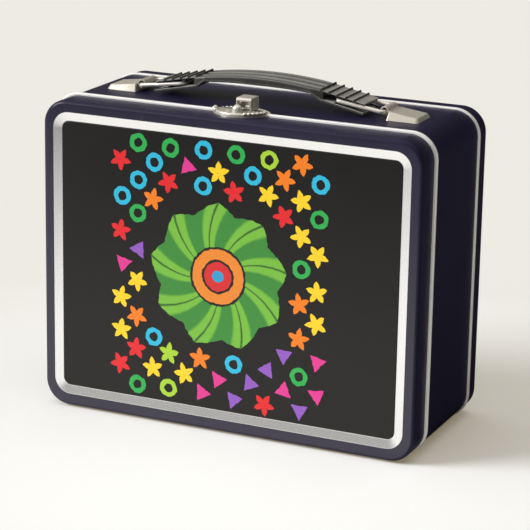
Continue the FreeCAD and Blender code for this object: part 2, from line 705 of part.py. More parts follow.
def build_latch_base():
    body = new_body("latch_base")
    reach = "(latch_reach - parting_gap / 2)"
    radius = arch_radius("latch_half_width", f"({reach} - plate_shoulder)")
    plan = new_sketch(body, "plan", "XY_Plane", ("latch_offset", BAND_EDGE_Y, TOP_Z))
    outline(plan, [("-latch_half_width", "0"), ("latch_half_width", "0"),
                   ("latch_half_width", "plate_shoulder"), ("-latch_half_width", "plate_shoulder")],
            {2: (radius, True)})
    pad(body, plan, "latch_plate")
    sweep = 2 * math.asin(value("latch_half_width") / value(radius))
    count = int(value("scallop_count"))
    for index in range(count):
        turn = math.degrees(sweep) * ((index + 0.5) / count - 0.5)
        bump = new_sketch(body, f"scallop{index}", "XY_Plane", ("latch_offset", BAND_EDGE_Y, TOP_Z))
        rise = f"({reach} - {radius} * (1 - cos({turn})))"
        disc(bump, f"({radius} * sin({turn}))", rise, "scallop_radius")
        pad(body, bump, "scallop_height")
    for side in (-1, 1):
        outer = "(hood_width / 2 - hood_wall - ear_gap)"
        x = f"({HOOD_X} + {side} * ({outer} - ear_thickness / 2))"
        ear = new_sketch(body, f"ear{side + 2}", "YZ_Plane", (PIVOT_Y, TOP_Z, x))
        outline(ear, [("-pivot_eye", "latch_plate / 2"), ("pivot_eye", "latch_plate / 2"),
                      ("pivot_eye", "pivot_height"), ("-pivot_eye", "pivot_height")],
                {2: (EAR_ARC, True)})
        disc(ear, "0", "pivot_height", "latch_pin_radius + latch_pin_clearance / 2")
        pad(body, ear, "ear_thickness", symmetric=True)
    rivet_seats(body, LATCH_SPOTS, f"({TOP_Z} + latch_plate)")
    return body


def build_latch_hood():
    body = new_body("latch_hood")
    front = "(-hood_front - pivot_setback)"
    side_view = new_sketch(body, "side_view", "YZ_Plane", (PIVOT_Y, TOP_Z, HOOD_X))
    under = "pivot_height - hood_heel"
    outline(side_view, [(front, "hood_bottom"), ("-pivot_eye", "hood_bottom"), ("-hood_heel", under),
                        ("hood_heel", under), ("pivot_eye", "pivot_height"),
                        ("hood_lean", "hood_top"), (front, "hood_top")])
    pad(body, side_view, "hood_width", symmetric=True)
    edge_y, edge_z = value(HOOD_FRONT_Y), value(f"{TOP_Z} + hood_top")
    edges = edges_where(body, lambda edge: abs(edge.CenterOfMass.y - edge_y) < 1e-3
                        and abs(edge.CenterOfMass.z - edge_z) < 1e-3)
    dress(body, "Fillet", edges, "Radius", "hood_edge_radius")
    doc.recompute()
    inside = new_sketch(body, "inside", "YZ_Plane", (PIVOT_Y, TOP_Z, HOOD_X))
    rectangle(inside, f"{front} + hood_wall", "2 * pivot_eye", "0", "hood_top - hood_wall")
    pocket(body, inside, HOOD_INNER, symmetric=True)
    mouth = new_sketch(body, "mouth", "YZ_Plane", (PIVOT_Y, TOP_Z, HOOD_X))
    rectangle(mouth, f"{front} - hood_wall", f"{front} + 2 * hood_wall", "0", "hood_top - hood_lip")
    pocket(body, mouth, HOOD_INNER, symmetric=True)
    eye = new_sketch(body, "eye", "YZ_Plane", (PIVOT_Y, TOP_Z, HOOD_X))
    disc(eye, "0", "pivot_height", "latch_pin_radius + latch_pin_clearance")
    disc(eye, f"{front} / 2", "(hood_bottom + hood_top) / 2", "dimple_radius")
    pocket(body, eye, "2 * hood_width", symmetric=True)
    return body


def build_keeper_plate():
    body = new_body("keeper_plate")
    plan = new_sketch(body, "plan", "XY_Plane", ("latch_offset", LID_EDGE_Y, TOP_Z))
    radius = arch_radius("latch_half_width", "(keeper_reach - plate_shoulder)")
    outline(plan, [("latch_half_width", "0"), ("-latch_half_width", "0"),
                   ("-latch_half_width", "-plate_shoulder"), ("latch_half_width", "-plate_shoulder")],
            {2: (radius, True)})
    pad(body, plan, KEEPER_TOP)
    top = value(f"{TOP_Z} + {KEEPER_TOP}")
    edges = edges_where(body, lambda edge: edge.BoundBox.ZMin > top - 1e-3 and edge.BoundBox.YLength > 1e-3)
    dress(body, "Chamfer", edges, "Size", "keeper_edge")
    doc.recompute()
    reach = "(latch_half_width + bead_width)"
    box_pocket(body, "bead_room", (f"latch_offset - {reach}", f"latch_offset + {reach}"),
               (f"{LID_EDGE_Y} - bead_width", f"{LID_EDGE_Y} + bead_width"),
               (f"{TOP_Z} - bead_height", f"{TOP_Z} + bead_height"))
    dome = body.newObject("PartDesign::AdditiveSphere", "keeper_plate_dome")
    dome.setExpression("Radius", bound("dome_radius"))
    dome.setExpression("Placement.Base.x", bound(DOME_X))
    dome.setExpression("Placement.Base.y", bound(DOME_Y))
    dome.setExpression("Placement.Base.z", bound(f"{TOP_Z} + dome_height - dome_radius"))
    doc.recompute()
    under = "2 * dome_radius"
    box_pocket(body, "dome_foot", (f"{DOME_X} - {under}", f"{DOME_X} + {under}"),
               (f"{DOME_Y} - {under}", f"{DOME_Y} + {under}"), (f"{TOP_Z} - {under}", TOP_Z))
    rivet_seats(body, KEEPER_SPOTS, f"({TOP_Z} + {KEEPER_TOP})")
    return body


def build_hinge_leaf(label, side, swing):
    """One leaf of a hinge; swing is 1 for the case's leaf, with two knuckles, and -1 for the lid's."""
    body = new_body(label)
    centre = f"({side} * {HINGE_X})"
    middle = "(knuckle_length / 2)" if swing < 0 else "(knuckle_length / 2 + knuckle_gap)"
    root = f"({swing} * knuckle_root)"
    clear = f"({swing} * {KNUCKLE_OUT})"
    near, gap = (clear, root) if swing < 0 else (root, clear)
    far = f"({swing} * hinge_leaf_length)"
    plan = new_sketch(body, "plan", "XY_Plane", (centre, PARTING_Y, FLOOR_Z))
    outline(plan, [("-hinge_width / 2", far), ("-hinge_width / 2", near), (f"-{middle}", near),
                   (f"-{middle}", gap), (middle, gap), (middle, near),
                   ("hinge_width / 2", near), ("hinge_width / 2", far)])
    pad(body, plan, "hinge_leaf_thickness")
    outer = f"(hinge_width / 2 - {middle})"
    spans = [("0", "knuckle_length")]
    if swing > 0:
        spans = [(f"{turn} * ({middle} + {outer} / 2)", outer) for turn in (-1, 1)]
    for index, (shift, length) in enumerate(spans):
        knuckle = new_sketch(body, f"knuckle{index}", "YZ_Plane",
                             (PARTING_Y, "knuckle_radius", f"{centre} + {shift}"))
        disc(knuckle, "0", "0", "knuckle_radius")
        disc(knuckle, "0", "0", "hinge_pin_radius + hinge_pin_clearance")
        pad(body, knuckle, length, symmetric=True)
    rivet_y = f"{PARTING_Y} + {swing} * hinge_rivet_setback"
    spots = [(f"{centre} + {turn} * rivet_spread", rivet_y) for turn in (-1, 1)]
    rivet_holes(body, spots, (FLOOR_Z, f"{FLOOR_Z} + hinge_leaf_thickness"))
    return body


def build_cross_pin(label, x, y, z, radius, length):
    """A round pin along X."""
    pin = doc.addObject("Part::Cylinder", label)
    pin.Label = label
    pin.setExpression("Radius", bound(radius))
    pin.setExpression("Height", bound(length))
    pin.Placement = FreeCAD.Placement(FreeCAD.Vector(), FreeCAD.Rotation(FreeCAD.Vector(0, 1, 0), 90))
    pin.setExpression("Placement.Base.x", bound(f"{x} - ({length}) / 2"))
    pin.setExpression("Placement.Base.y", bound(y))
    pin.setExpression("Placement.Base.z", bound(z))
    return pin


def build_rivets(label, spots, z_low, z_high):
    """Rivets along Z that clamp what lies between two heights, one solid each."""
    rivets = []
    for index, (x, y) in enumerate(spots):
        stack = [("shank", "rivet_shank_radius", f"{z_low} - rivet_head_height / 2",
                  f"({z_high}) - ({z_low}) + rivet_head_height"),
                 ("lower_head", "rivet_head_radius", f"{z_low} - rivet_head_height", "rivet_head_height"),
                 ("upper_head", "rivet_head_radius", z_high, "rivet_head_height")]
        pieces = []
        for name, radius, z, height in stack:
            piece = doc.addObject("Part::Cylinder", f"{label}_{name}{index}")
            piece.setExpression("Radius", bound(radius))
            piece.setExpression("Height", bound(height))
            for axis, text in (("x", x), ("y", y), ("z", z)):
                piece.setExpression(f"Placement.Base.{axis}", bound(text))
            pieces.append(piece)
        rivet = doc.addObject("Part::MultiFuse", f"{label}_rivet{index}")
        rivet.Shapes = pieces
        rivets.append(rivet)
    group = doc.addObject("Part::Compound", label)
    group.Label = label
    group.Links = rivets
    return group


def build_all():
    nodes = [build_lid_shell(), build_front_panel(), build_side_band(), build_back_cover()]
    for name, side in (("left", -1), ("right", 1)):
        nodes.append(build_handle_lug(f"handle_lug_{name}", side))
        nodes.append(build_lug_backing(f"lug_backing_{name}", side))
        nodes.append(build_wire_loop(f"wire_loop_{name}", side))
        nodes.append(build_hinge_leaf(f"hinge_leaf_body_{name}", side, 1))
        nodes.append(build_hinge_leaf(f"hinge_leaf_lid_{name}", side, -1))
        nodes.append(build_cross_pin(f"hinge_pin_{name}", f"{side} * {HINGE_X}", PARTING_Y,
                                     "knuckle_radius", "hinge_pin_radius", "hinge_width"))
    nodes += [build_grip_top(), build_grip_base()]
    nodes += [build_latch_base(), build_latch_hood(), build_keeper_plate()]
    nodes.append(build_cross_pin("latch_pin", HOOD_X, PIVOT_Y, f"{TOP_Z} + pivot_height",
                                 "latch_pin_radius", "hood_width + 2 * ear_gap"))
    under = f"{TOP_Z} - sheet_thickness"
    nodes.append(build_rivets("latch_rivets", LATCH_SPOTS, under,
                              f"{TOP_Z} + latch_plate - rivet_head_height"))
    nodes.append(build_rivets("keeper_rivets", KEEPER_SPOTS, under,
                              f"{TOP_Z} + {KEEPER_TOP} - rivet_head_height"))
    for name, swing in (("body", 1), ("lid", -1)):
        nodes.append(build_rivets(f"hinge_rivets_{name}", hinge_rivet_spots(swing), "foot_height",
                                  f"{FLOOR_Z} + hinge_leaf_thickness"))
    return nodes


def export(nodes):
    doc.recompute()
    for item in doc.Objects:
        if "Invalid" in item.State or "Error" in item.State:
            raise RuntimeError(f"{item.Label} failed: {item.State}")
    for node in nodes:
        if node.Shape.isNull() or not node.Shape.isValid() or not node.Shape.Solids:
            raise RuntimeError(f"{node.Label} has no valid solid")
    os.makedirs("parts", exist_ok=True)
    for node in nodes:
        node.Shape.exportStep(os.path.join("parts", f"{node.Label}.step"))
        box = node.Shape.BoundBox
        print(f"{node.Label}: {len(node.Shape.Solids)} solid(s), {node.Shape.Volume:.1f} mm3, "
              f"X {box.XMin:.2f} {box.XMax:.2f}, Y {box.YMin:.2f} {box.YMax:.2f}, "
              f"Z {box.ZMin:.2f} {box.ZMax:.2f}")


export(build_all())
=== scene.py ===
import json
import math
from functools import partial

import bmesh
import bpy
from mathutils import Euler, Matrix, Vector


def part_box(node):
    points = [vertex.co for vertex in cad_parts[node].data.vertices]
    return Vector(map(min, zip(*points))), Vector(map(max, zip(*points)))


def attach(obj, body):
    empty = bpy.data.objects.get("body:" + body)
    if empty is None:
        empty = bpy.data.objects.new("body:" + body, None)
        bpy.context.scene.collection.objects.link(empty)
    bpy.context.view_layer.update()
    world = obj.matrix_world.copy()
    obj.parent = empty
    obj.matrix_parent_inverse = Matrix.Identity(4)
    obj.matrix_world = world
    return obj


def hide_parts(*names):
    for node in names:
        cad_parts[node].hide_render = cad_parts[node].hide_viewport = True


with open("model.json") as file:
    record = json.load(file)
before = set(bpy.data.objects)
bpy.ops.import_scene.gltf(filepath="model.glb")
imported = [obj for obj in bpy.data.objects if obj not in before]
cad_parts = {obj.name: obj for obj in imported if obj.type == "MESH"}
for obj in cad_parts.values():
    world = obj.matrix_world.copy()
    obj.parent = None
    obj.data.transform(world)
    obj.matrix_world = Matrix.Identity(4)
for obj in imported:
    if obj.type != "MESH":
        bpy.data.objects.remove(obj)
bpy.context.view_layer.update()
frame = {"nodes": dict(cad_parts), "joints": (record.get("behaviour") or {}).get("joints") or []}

bl_info = {
    "name": "Metal lunch box",
    "version": (1, 0, 0),
    "blender": (4, 5, 0),
    "location": "3D View > Sidebar > Lunch box",
    "description": "Builds a pressed metal lunch box with a lifting handle on its packed frame",
    "category": "Object",
}

# Places read from the frame, in metres
MM = 0.001
LID_LOW, LID_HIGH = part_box("lid_shell")
BAND_LOW, BAND_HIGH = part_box("side_band")
BACK_LOW, BACK_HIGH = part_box("back_cover")
PANEL_LOW, PANEL_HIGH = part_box("front_panel")
GRIP_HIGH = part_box("grip_top")[1]
LUG_LOW, LUG_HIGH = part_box("handle_lug_right")
KEEPER_LOW, KEEPER_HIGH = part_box("keeper_plate")
JOINTS = {joint["name"]: joint for joint in frame["joints"]}

HALF_WIDTH = BAND_HIGH.x
TOP = BAND_HIGH.z
FLOOR = BAND_LOW.z
FRONT = LID_LOW.y
LID_EDGE = LID_HIGH.y
BACK = BACK_HIGH.y
SEAM_FRONT = BACK_LOW.y
NECK_FRONT = BAND_LOW.y
BEAD_HEIGHT = LID_HIGH.x - HALF_WIDTH
SEAM_HEIGHT = BACK_HIGH.x - HALF_WIDTH
PANEL_GAP = 0.3 * MM
PARTING_GAP = 0.3 * MM
BAND_EDGE = LID_EDGE + PARTING_GAP
EYE_X = JOINTS["loop_swing_right"]["pos_m"][0]
EYE_Z = JOINTS["loop_swing_right"]["pos_m"][2]
HOOD_X = JOINTS["hood_hinge"]["pos_m"][0]
HINGE_Y = JOINTS["lid_hinge"]["pos_m"][1]

CORNER_STEPS = 12
ARC_STEPS = 6
ROLL_STEPS = 12
ROLL_FULLNESS = 0.45
TINY_STEP = 0.02 * MM
MERGE_DISTANCE = 0.001 * MM
ENAMEL, SILVER, TIN, TRIM = 0, 1, 2, 3
SIDES = (("left", -1), ("right", 1))


def length(name, description, default):
    """A setting for a size in metres."""
    return bpy.props.FloatProperty(name=name, description=description, default=default, min=0.0,
                                   unit="LENGTH", precision=5)


def number(name, description, default):
    """A setting for a whole count."""
    return bpy.props.IntProperty(name=name, description=description, default=default, min=1)


def colour(name, description, default):
    """A setting for a colour."""
    return bpy.props.FloatVectorProperty(name=name, description=description, default=default, size=4,
                                         min=0.0, max=1.0, subtype="COLOR")


class CaseSizes(bpy.types.PropertyGroup):
    """Sizes of the pressed case and lid"""
    corner_radius: length("Corner radius", "Radius of the four corners seen from the front", 12.5 * MM)
    edge_radius: length("Edge radius", "Rounding between a face and the side wall", 2.0 * MM)
    sheet: length("Sheet", "Thickness of the sheet metal", 0.4 * MM)
    frame_slope: length("Frame width", "Width of the sloped frame round the panel", 4.4 * MM)
    frame_depth: length("Frame depth", "How far the panel sits below the rim", 1.0 * MM)
    frame_radius: length("Frame radius", "Corner radius of the frame's outer edge", 8.4 * MM)
    bead_width: length("Bead width", "Width of the rolled bead on the lid's edge", 2.4 * MM)
    seam_width: length("Seam width", "Width of the seam between wall and back", 2.3 * MM)
    neck_inset: length("Neck inset", "How far the neck under the lid stands in from the wall", 0.75 * MM)


class HandleSizes(bpy.types.PropertyGroup):
    """Sizes of the grip, its wire rings and their lugs"""
    wire_diameter: length("Wire", "Diameter of the wire rings", 2.0 * MM)
    ring_length: length("Ring length", "Between the two bars of a wire ring", 24.2 * MM)
    ring_spacing: length("Ring spacing", "Between the two long sides of a wire ring", 16.0 * MM)
    ring_corner: length("Ring corner", "Bend radius of the wire", 2.0 * MM)
    rib_count: number("Ribs", "Cross ribs on each end of the grip", 5)
    rib_pitch: length("Rib pitch", "Distance between cross ribs", 4.35 * MM)
    rib_width: length("Rib width", "Thickness of a cross rib", 1.0 * MM)
    rib_height: length("Rib height", "How far a cross rib stands up", 0.9 * MM)
    flute_count: number("Flutes", "Lengthwise hollows along the top of the grip", 3)
    flute_depth: length("Flute depth", "Depth of the lengthwise hollows", 0.7 * MM)
    lug_height: length("Lug height", "Height of a lug's inner end above the case", 4.2 * MM)
    lug_tail: length("Lug tail", "Height of a lug's outer end above the case", 2.1 * MM)


class ClaspSizes(bpy.types.PropertyGroup):
    """Sizes of the snap clasp"""
    bead_pitch: length("Bead pitch", "Distance between the beads of the clasp's border", 2.1 * MM)
    right_run: length("Right beads", "Length of the beaded run at the keeper's right end", 13.0 * MM)
    left_run: length("Left beads", "Length of the beaded run at the keeper's left end", 7.5 * MM)
    bead_radius: length("Bead radius", "Radius of one border bead", 1.15 * MM)
    plate: length("Plate", "Thickness of the clasp plate", 0.8 * MM)
    rim_width: length("Rim", "Width of the raised front rim", 1.7 * MM)
    dish_depth: length("Dish", "Depth of the dish behind the rim", 0.3 * MM)
    dome_radius: length("Dome", "Radius of the snap dome", 2.35 * MM)


class FinishColours(bpy.types.PropertyGroup):
    """Colours of the finishes"""
    enamel: colour("Enamel", "Baked enamel on the outside", (0.0115, 0.0098, 0.0335, 1.0))
    silver: colour("Silver", "Frame round the panel", (0.915, 0.93, 0.955, 1.0))
    trim: colour("Edges", "Rolled bead and seam", (0.88, 0.88, 0.865, 1.0))
    tin: colour("Tinplate", "Bare inside of the case", (0.62, 0.61, 0.58, 1.0))
    panel: colour("Panel", "Ground of the printed panel", (0.005, 0.005, 0.005, 1.0))
    nickel: colour("Nickel", "Plated lugs", (0.58, 0.55, 0.475, 1.0))
    clasp: colour("Clasp", "Plated clasp", (0.80, 0.77, 0.685, 1.0))
    wire: colour("Wire", "Plated wire rings", (0.84, 0.81, 0.74, 1.0))
    steel: colour("Steel", "Hinges, pins and rivets", (0.72, 0.71, 0.69, 1.0))
    grip: colour("Grip", "Moulded grip", (0.042, 0.0415, 0.039, 1.0))
    strip: colour("Strip", "Lower strip of the grip", (0.06, 0.06, 0.057, 1.0))
    # The first floor colour is the paper under a pool of light painted round the case
    pooled_light_floor: colour("Near floor", "Studio floor by the case", (0.80, 0.85, 0.915, 1.0))
    cream_floor: colour("Cream floor", "Studio floor away from the case", (0.615, 0.645, 0.67, 1.0))
    lit_floor: colour("Lit floor", "Studio floor as it lights the case", (1.0, 0.985, 0.95, 1.0))
    haze: colour("Haze", "Light that lifts the floor's shadow", (0.19, 0.155, 0.095, 1.0))
    dark_floor: colour("Dark floor", "Studio floor out of sight in front", (0.04, 0.04, 0.04, 1.0))


class LunchBoxSettings(bpy.types.PropertyGroup):
    """Everything a user may change"""
    case: bpy.props.PointerProperty(type=CaseSizes)
    handle: bpy.props.PointerProperty(type=HandleSizes)
    clasp: bpy.props.PointerProperty(type=ClaspSizes)
    finish: bpy.props.PointerProperty(type=FinishColours)


def settings():
    """The settings held by the scene."""
    return bpy.context.scene.lunch_box


# Mesh drafts
class Draft:
    """Points and faces of one piece while it is put together"""

    def __init__(self):
        self.points = []
        self.faces = []
        self.finishes = []

    def ring(self, points):
        start = len(self.points)
        self.points.extend(points)
        return list(range(start, len(self.points)))

    def face(self, corners, finish=0):
        self.faces.append(corners)
        self.finishes.append(finish)

    def strip(self, first, second, finish=0, closed=True):
        count = len(first)
        for index in range(count if closed else count - 1):
            after = (index + 1) % count
            self.face([first[index], first[after], second[after], second[index]], finish)

    def loft(self, outlines, finishes=None, capped=True):
        """Joins outlines of equal length in turn; capped closes both ends, else the last joins the first."""
        rings = [self.ring(points) for points in outlines]
        finishes = finishes or [0] * len(rings)
        for index in range(len(rings) - 1):
            self.strip(rings[index], rings[index + 1], finishes[index + 1])
        if capped:
            self.face(list(reversed(rings[0])), finishes[0])
            self.face(rings[-1], finishes[-1])
        else:
            self.strip(rings[-1], rings[0], finishes[0])

    def prism(self, outline, low, high, place):
        """An outline of flat points pushed along one axis; place turns (across, up, along) into a point."""
        self.loft([[place(across, up, along) for across, up in outline] for along in (low, high)])

    def lathe(self, profile, centre, axis, steps=32, closed=False):
        """Turns (radius, along) points round an axis; an open profile begins and ends on the axis."""
        turn = axis.to_track_quat("Z", "Y")
        outlines = []
        for radius, along in profile:
            ring = []
            for step in range(steps):
                angle = math.tau * step / steps
                spoke = Vector((radius * math.cos(angle), radius * math.sin(angle), along))
                ring.append(centre + turn @ spoke)
            outlines.append(ring)
        self.loft(outlines, capped=not closed)

    def build(self, name, materials):
        mesh = bpy.data.meshes.new(name)
        mesh.from_pydata([tuple(point) for point in self.points], [], self.faces)
        for finish in materials:
            mesh.materials.append(finish)
        mesh.polygons.foreach_set("material_index", self.finishes)
        return clean(new_object(name, mesh))


def new_object(name, mesh):
    """Adds an object to the scene."""
    made = bpy.data.objects.new(name, mesh)
    bpy.context.scene.collection.objects.link(made)
    return made


def clean(piece, recalculate=True, flat_angle=None):
    """Merges doubled points and turns the faces outwards."""
    work = bmesh.new()
    work.from_mesh(piece.data)
    bmesh.ops.remove_doubles(work, verts=work.verts, dist=MERGE_DISTANCE)
    bmesh.ops.dissolve_degenerate(work, edges=work.edges, dist=MERGE_DISTANCE)
    if flat_angle:
        bmesh.ops.dissolve_limit(work, angle_limit=flat_angle, verts=work.verts, edges=work.edges)
    if recalculate:
        bmesh.ops.recalc_face_normals(work, faces=work.faces)
    work.to_mesh(piece.data)
    work.free()
    return piece


def bake(piece):
    """Replaces a piece's mesh with what its modifiers make of it."""
    graph = bpy.context.evaluated_depsgraph_get()
    mesh = bpy.data.meshes.new_from_object(piece.evaluated_get(graph), preserve_all_data_layers=True,
                                           depsgraph=graph)
    piece.modifiers.clear()
    piece.data = mesh
    return piece


def smooth(piece, angle=math.radians(35)):
    """Shades a piece smooth, with large faces kept flat and edges past an angle kept sharp."""
    piece.data.shade_smooth()
    piece.data.set_sharp_from_angle(angle=angle)
    weights = piece.modifiers.new("weights", "WEIGHTED_NORMAL")
    weights.keep_sharp = True
    return bake(piece)


def soften(piece, width):
    """Rounds a piece's edges."""
    bevel = piece.modifiers.new("rounding", "BEVEL")
    bevel.width = width
    bevel.segments = 2
    bevel.limit_method = "ANGLE"
    bevel.angle_limit = math.radians(30)
    bevel.use_clamp_overlap = False
    return bake(piece)


def box_draft(low, high):
    """A box between two corners."""
    draft = Draft()
    corners = [(low[0], low[1]), (high[0], low[1]), (high[0], high[1]), (low[0], high[1])]
    draft.prism(corners, low[2], high[2], lambda x, y, z: Vector((x, y, z)))
    return draft


def cut(piece, boxes):
    """Cuts boxes, given by two corners each, out of a piece."""
    for low, high in boxes:
        cutter = box_draft(low, high).build("cutter", [])
        hole = piece.modifiers.new("cut", "BOOLEAN")
        hole.operation = "DIFFERENCE"
        hole.solver = "EXACT"
        hole.object = cutter
        bake(piece)
        bpy.data.meshes.remove(cutter.data)
    return piece


def place_piece(piece, body, nodes):
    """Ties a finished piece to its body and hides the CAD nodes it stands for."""
    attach(piece, body)
    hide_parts(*nodes)


def cad_copy(node, name, finish, rounding):
    """A clean copy of a CAD node with rounded edges."""
    piece = new_object(name, frame["nodes"][node].data.copy())
    piece.data.materials.clear()
    piece.data.materials.append(finish)
    clean(piece, recalculate=False, flat_angle=math.radians(1))
    return smooth(soften(piece, rounding))


def arc(start, end, steps=ARC_STEPS):
    """Angles from start to end, both in degrees, given in radians."""
    return [math.radians(start + (end - start) * step / steps) for step in range(steps + 1)]


# Outlines seen from the front
def rounded_ring(half_width, top, bottom, radius, y):
    """A rounded rectangle at one depth, always with the same number of points."""
    centres = [(half_width - radius, top - radius, 0), (radius - half_width, top - radius, 90),
               (radius - half_width, bottom + radius, 180), (half_width - radius, bottom + radius, 270)]
    ring = []
    for x, z, start in centres:
        for angle in arc(start, start + 90, CORNER_STEPS):
            ring.append(Vector((x + radius * math.cos(angle), y, z + radius * math.sin(angle))))
    return ring


def case_ring(inset, y, foot=None):
    """The case's outline, moved in by inset; foot moves its bottom run by another amount."""
    foot = inset if foot is None else foot
    radius = settings().case.corner_radius - (inset + foot) / 2
    return rounded_ring(HALF_WIDTH - inset, TOP - inset, FLOOR + foot, radius, y)


def frame_ring(inset, y):
    """The outer edge of the sloped frame, moved in by inset."""
    case = settings().case
    room = PANEL_GAP + case.frame_slope - inset
    return rounded_ring(PANEL_HIGH.x + room, PANEL_HIGH.z + room, PANEL_LOW.z - room,
                        case.frame_radius - inset, y)


FACE_LAP = 0.5 * MM
RIM_EDGE = 0.02 * MM
RIM_FLAT = 0.4 * MM
# Share of the frame's width and of its depth at each line across it, from the panel outwards
FRAME_PROFILE = ((1.0, 0.98), (0.93, 0.93), (0.12, 0.12), (0.04, 0.02))


def pan_outlines(face_y, inward):
    """Outside and inside of a pressed pan from the middle of its face to its straight wall."""
    case = settings().case
    slope = case.frame_slope
    depth = case.frame_depth

    def at(distance):
        return face_y + inward * distance

    outside = [(frame_ring(slope + FACE_LAP, at(depth)), ENAMEL)]
    for share, drop in FRAME_PROFILE:
        finish = ENAMEL if share == 1.0 else SILVER
        outside.append((frame_ring(slope * share, at(depth * drop)), finish))
    outside.append((frame_ring(-RIM_EDGE, at(0)), SILVER))
    outside.append((frame_ring(-RIM_FLAT, at(0)), ENAMEL))
    radius = case.edge_radius
    for angle in arc(0, 90):
        inset = radius * (1 - math.sin(angle))
        outside.append((case_ring(inset, at(radius * (1 - math.cos(angle)))), ENAMEL))
    inner = radius - case.sheet
    inside = []
    for angle in reversed(arc(0, 90)):
        inset = radius - inner * math.sin(angle)
        inside.append((case_ring(inset, at(radius - inner * math.cos(angle))), TIN))
    inside.append((frame_ring(-case.sheet, at(case.sheet)), TIN))
    inside.append((frame_ring(slope - case.sheet, at(depth + case.sheet)), TIN))
    inside.append((frame_ring(slope + FACE_LAP, at(depth + case.sheet)), TIN))
    return outside, inside


def rolled(height, start_y, end_y, ring):
    """Outlines of a rolled edge from one depth to another."""
    outlines = []
    for angle in arc(0, 180, ROLL_STEPS):
        rise = height * max(math.sin(angle), 0.0) ** ROLL_FULLNESS
        y = (start_y + end_y) / 2 - (end_y - start_y) / 2 * math.cos(angle)
        outlines.append((ring(rise, y), TRIM))
    return outlines


def loft_pan(name, outlines):
    """A pan's mesh from its outlines and their finishes."""
    draft = Draft()
    draft.loft([points for points, finish in outlines], [finish for points, finish in outlines])
    return draft.build(name, [material(finish) for finish in ("enamel", "silver", "tin", "trim")])


KNUCKLE_ROOM = 0.4 * MM
KNUCKLE_REACH = 1.7 * MM
LID_WINDOW_TOP = FLOOR + 0.8 * MM
WALL_WINDOW_TOP = FLOOR + 2.7 * MM
FOOT_CUT_DEPTH = 0.7 * MM
FOOT_CUT_TOP = 1.4 * MM


def hinge_windows(low_y, high_y, high_z):
    """Boxes that leave room for the hinge knuckles."""
    boxes = []
    for side in ("left", "right"):
        low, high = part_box(f"hinge_leaf_body_{side}")
        boxes.append(((low.x - KNUCKLE_ROOM, low_y, -FLOOR), (high.x + KNUCKLE_ROOM, high_y, high_z)))
    return boxes


def build_lid_pan():
    """The lid: a pressed pan with a rolled bead, cut open at the hinges."""
    case = settings().case
    outside, inside = pan_outlines(FRONT, 1)
    bead = rolled(BEAD_HEIGHT, LID_EDGE - case.bead_width, LID_EDGE,
                  lambda rise, y: case_ring(-rise, y, foot=0.0))
    edge = [(case_ring(case.sheet, LID_EDGE), TIN)]
    outlines = outside + [(bead[0][0], ENAMEL)] + bead[1:] + edge + inside
    lid = loft_pan("lid_pan", outlines)
    boxes = hinge_windows(HINGE_Y - KNUCKLE_REACH, BAND_EDGE, LID_WINDOW_TOP)
    foot = HALF_WIDTH - case.corner_radius / 2
    boxes.append(((-foot, LID_EDGE - FOOT_CUT_DEPTH, -FLOOR), (foot, BAND_EDGE, FOOT_CUT_TOP)))
    cut(lid, boxes)
    place_piece(smooth(lid), "lid", ["lid_shell"])


def build_front_panel():
    """The printed sheet in the lid's frame."""
    case = settings().case
    inset = case.frame_slope + PANEL_GAP
    face = PANEL_LOW.y
    rounding = 0.15 * MM
    outlines = [frame_ring(inset, PANEL_HIGH.y)]
    for angle in arc(0, 90, 3):
        turned_in = inset + rounding * (1 - math.cos(angle))
        outlines.append(frame_ring(turned_in, face + rounding * (1 - math.sin(angle))))
    draft = Draft()
    draft.loft(outlines)
    panel = draft.build("front_panel_print", [material("panel")])
    place_piece(smooth(panel), "lid", ["front_panel"])


def build_side_band():
    """The wall with its neck under the lid, cut open at the hinges."""
    case = settings().case
    neck = case.neck_inset
    sheet = case.sheet
    bend = 0.3 * MM
    outlines = []
    for angle in arc(0, 90, 4):
        inset = bend * (1 - math.cos(angle))
        outlines.append((case_ring(inset, BAND_EDGE + bend * (1 - math.sin(angle))), ENAMEL))
    outlines.append((case_ring(neck, BAND_EDGE), TIN))
    for angle in arc(0, 180, 4):
        inset = neck + sheet / 2 * (1 - math.cos(angle))
        outlines.append((case_ring(inset, NECK_FRONT + sheet / 2 * (1 - math.sin(angle))), TIN))
    outlines.append((case_ring(neck + sheet, BAND_EDGE + sheet / 2), TIN))
    outlines.append((case_ring(sheet + bend / 2, BAND_EDGE + sheet), TIN))
    outlines.append((case_ring(sheet, BAND_EDGE + sheet + bend / 2), TIN))
    outlines.append((case_ring(sheet, BAND_HIGH.y), TIN))
    outlines.append((case_ring(0.0, BAND_HIGH.y), ENAMEL))
    draft = Draft()
    finishes = [finish for points, finish in outlines]
    draft.loft([points for points, finish in outlines], finishes, capped=False)
    band = draft.build("side_wall", [material("enamel"), material("silver"), material("tin")])
    cut(band, hinge_windows(NECK_FRONT - PARTING_GAP, HINGE_Y + KNUCKLE_REACH, WALL_WINDOW_TOP))
    place_piece(smooth(band), "case", ["side_band"])


def build_back_pan():
    """The back: a pressed pan seamed to the wall."""
    case = settings().case
    outside, inside = pan_outlines(BACK, -1)
    seam_back = SEAM_FRONT + case.seam_width
    seam = rolled(SEAM_HEIGHT, seam_back, SEAM_FRONT, lambda rise, y: case_ring(-rise, y))
    lap = [(case_ring(0.0, BAND_HIGH.y), TIN), (case_ring(case.sheet, BAND_HIGH.y), TIN)]
    outlines = outside + [(seam[0][0], ENAMEL)] + seam[1:] + lap + inside
    back = loft_pan("back_pan", outlines)
    place_piece(smooth(back), "case", ["back_cover"])


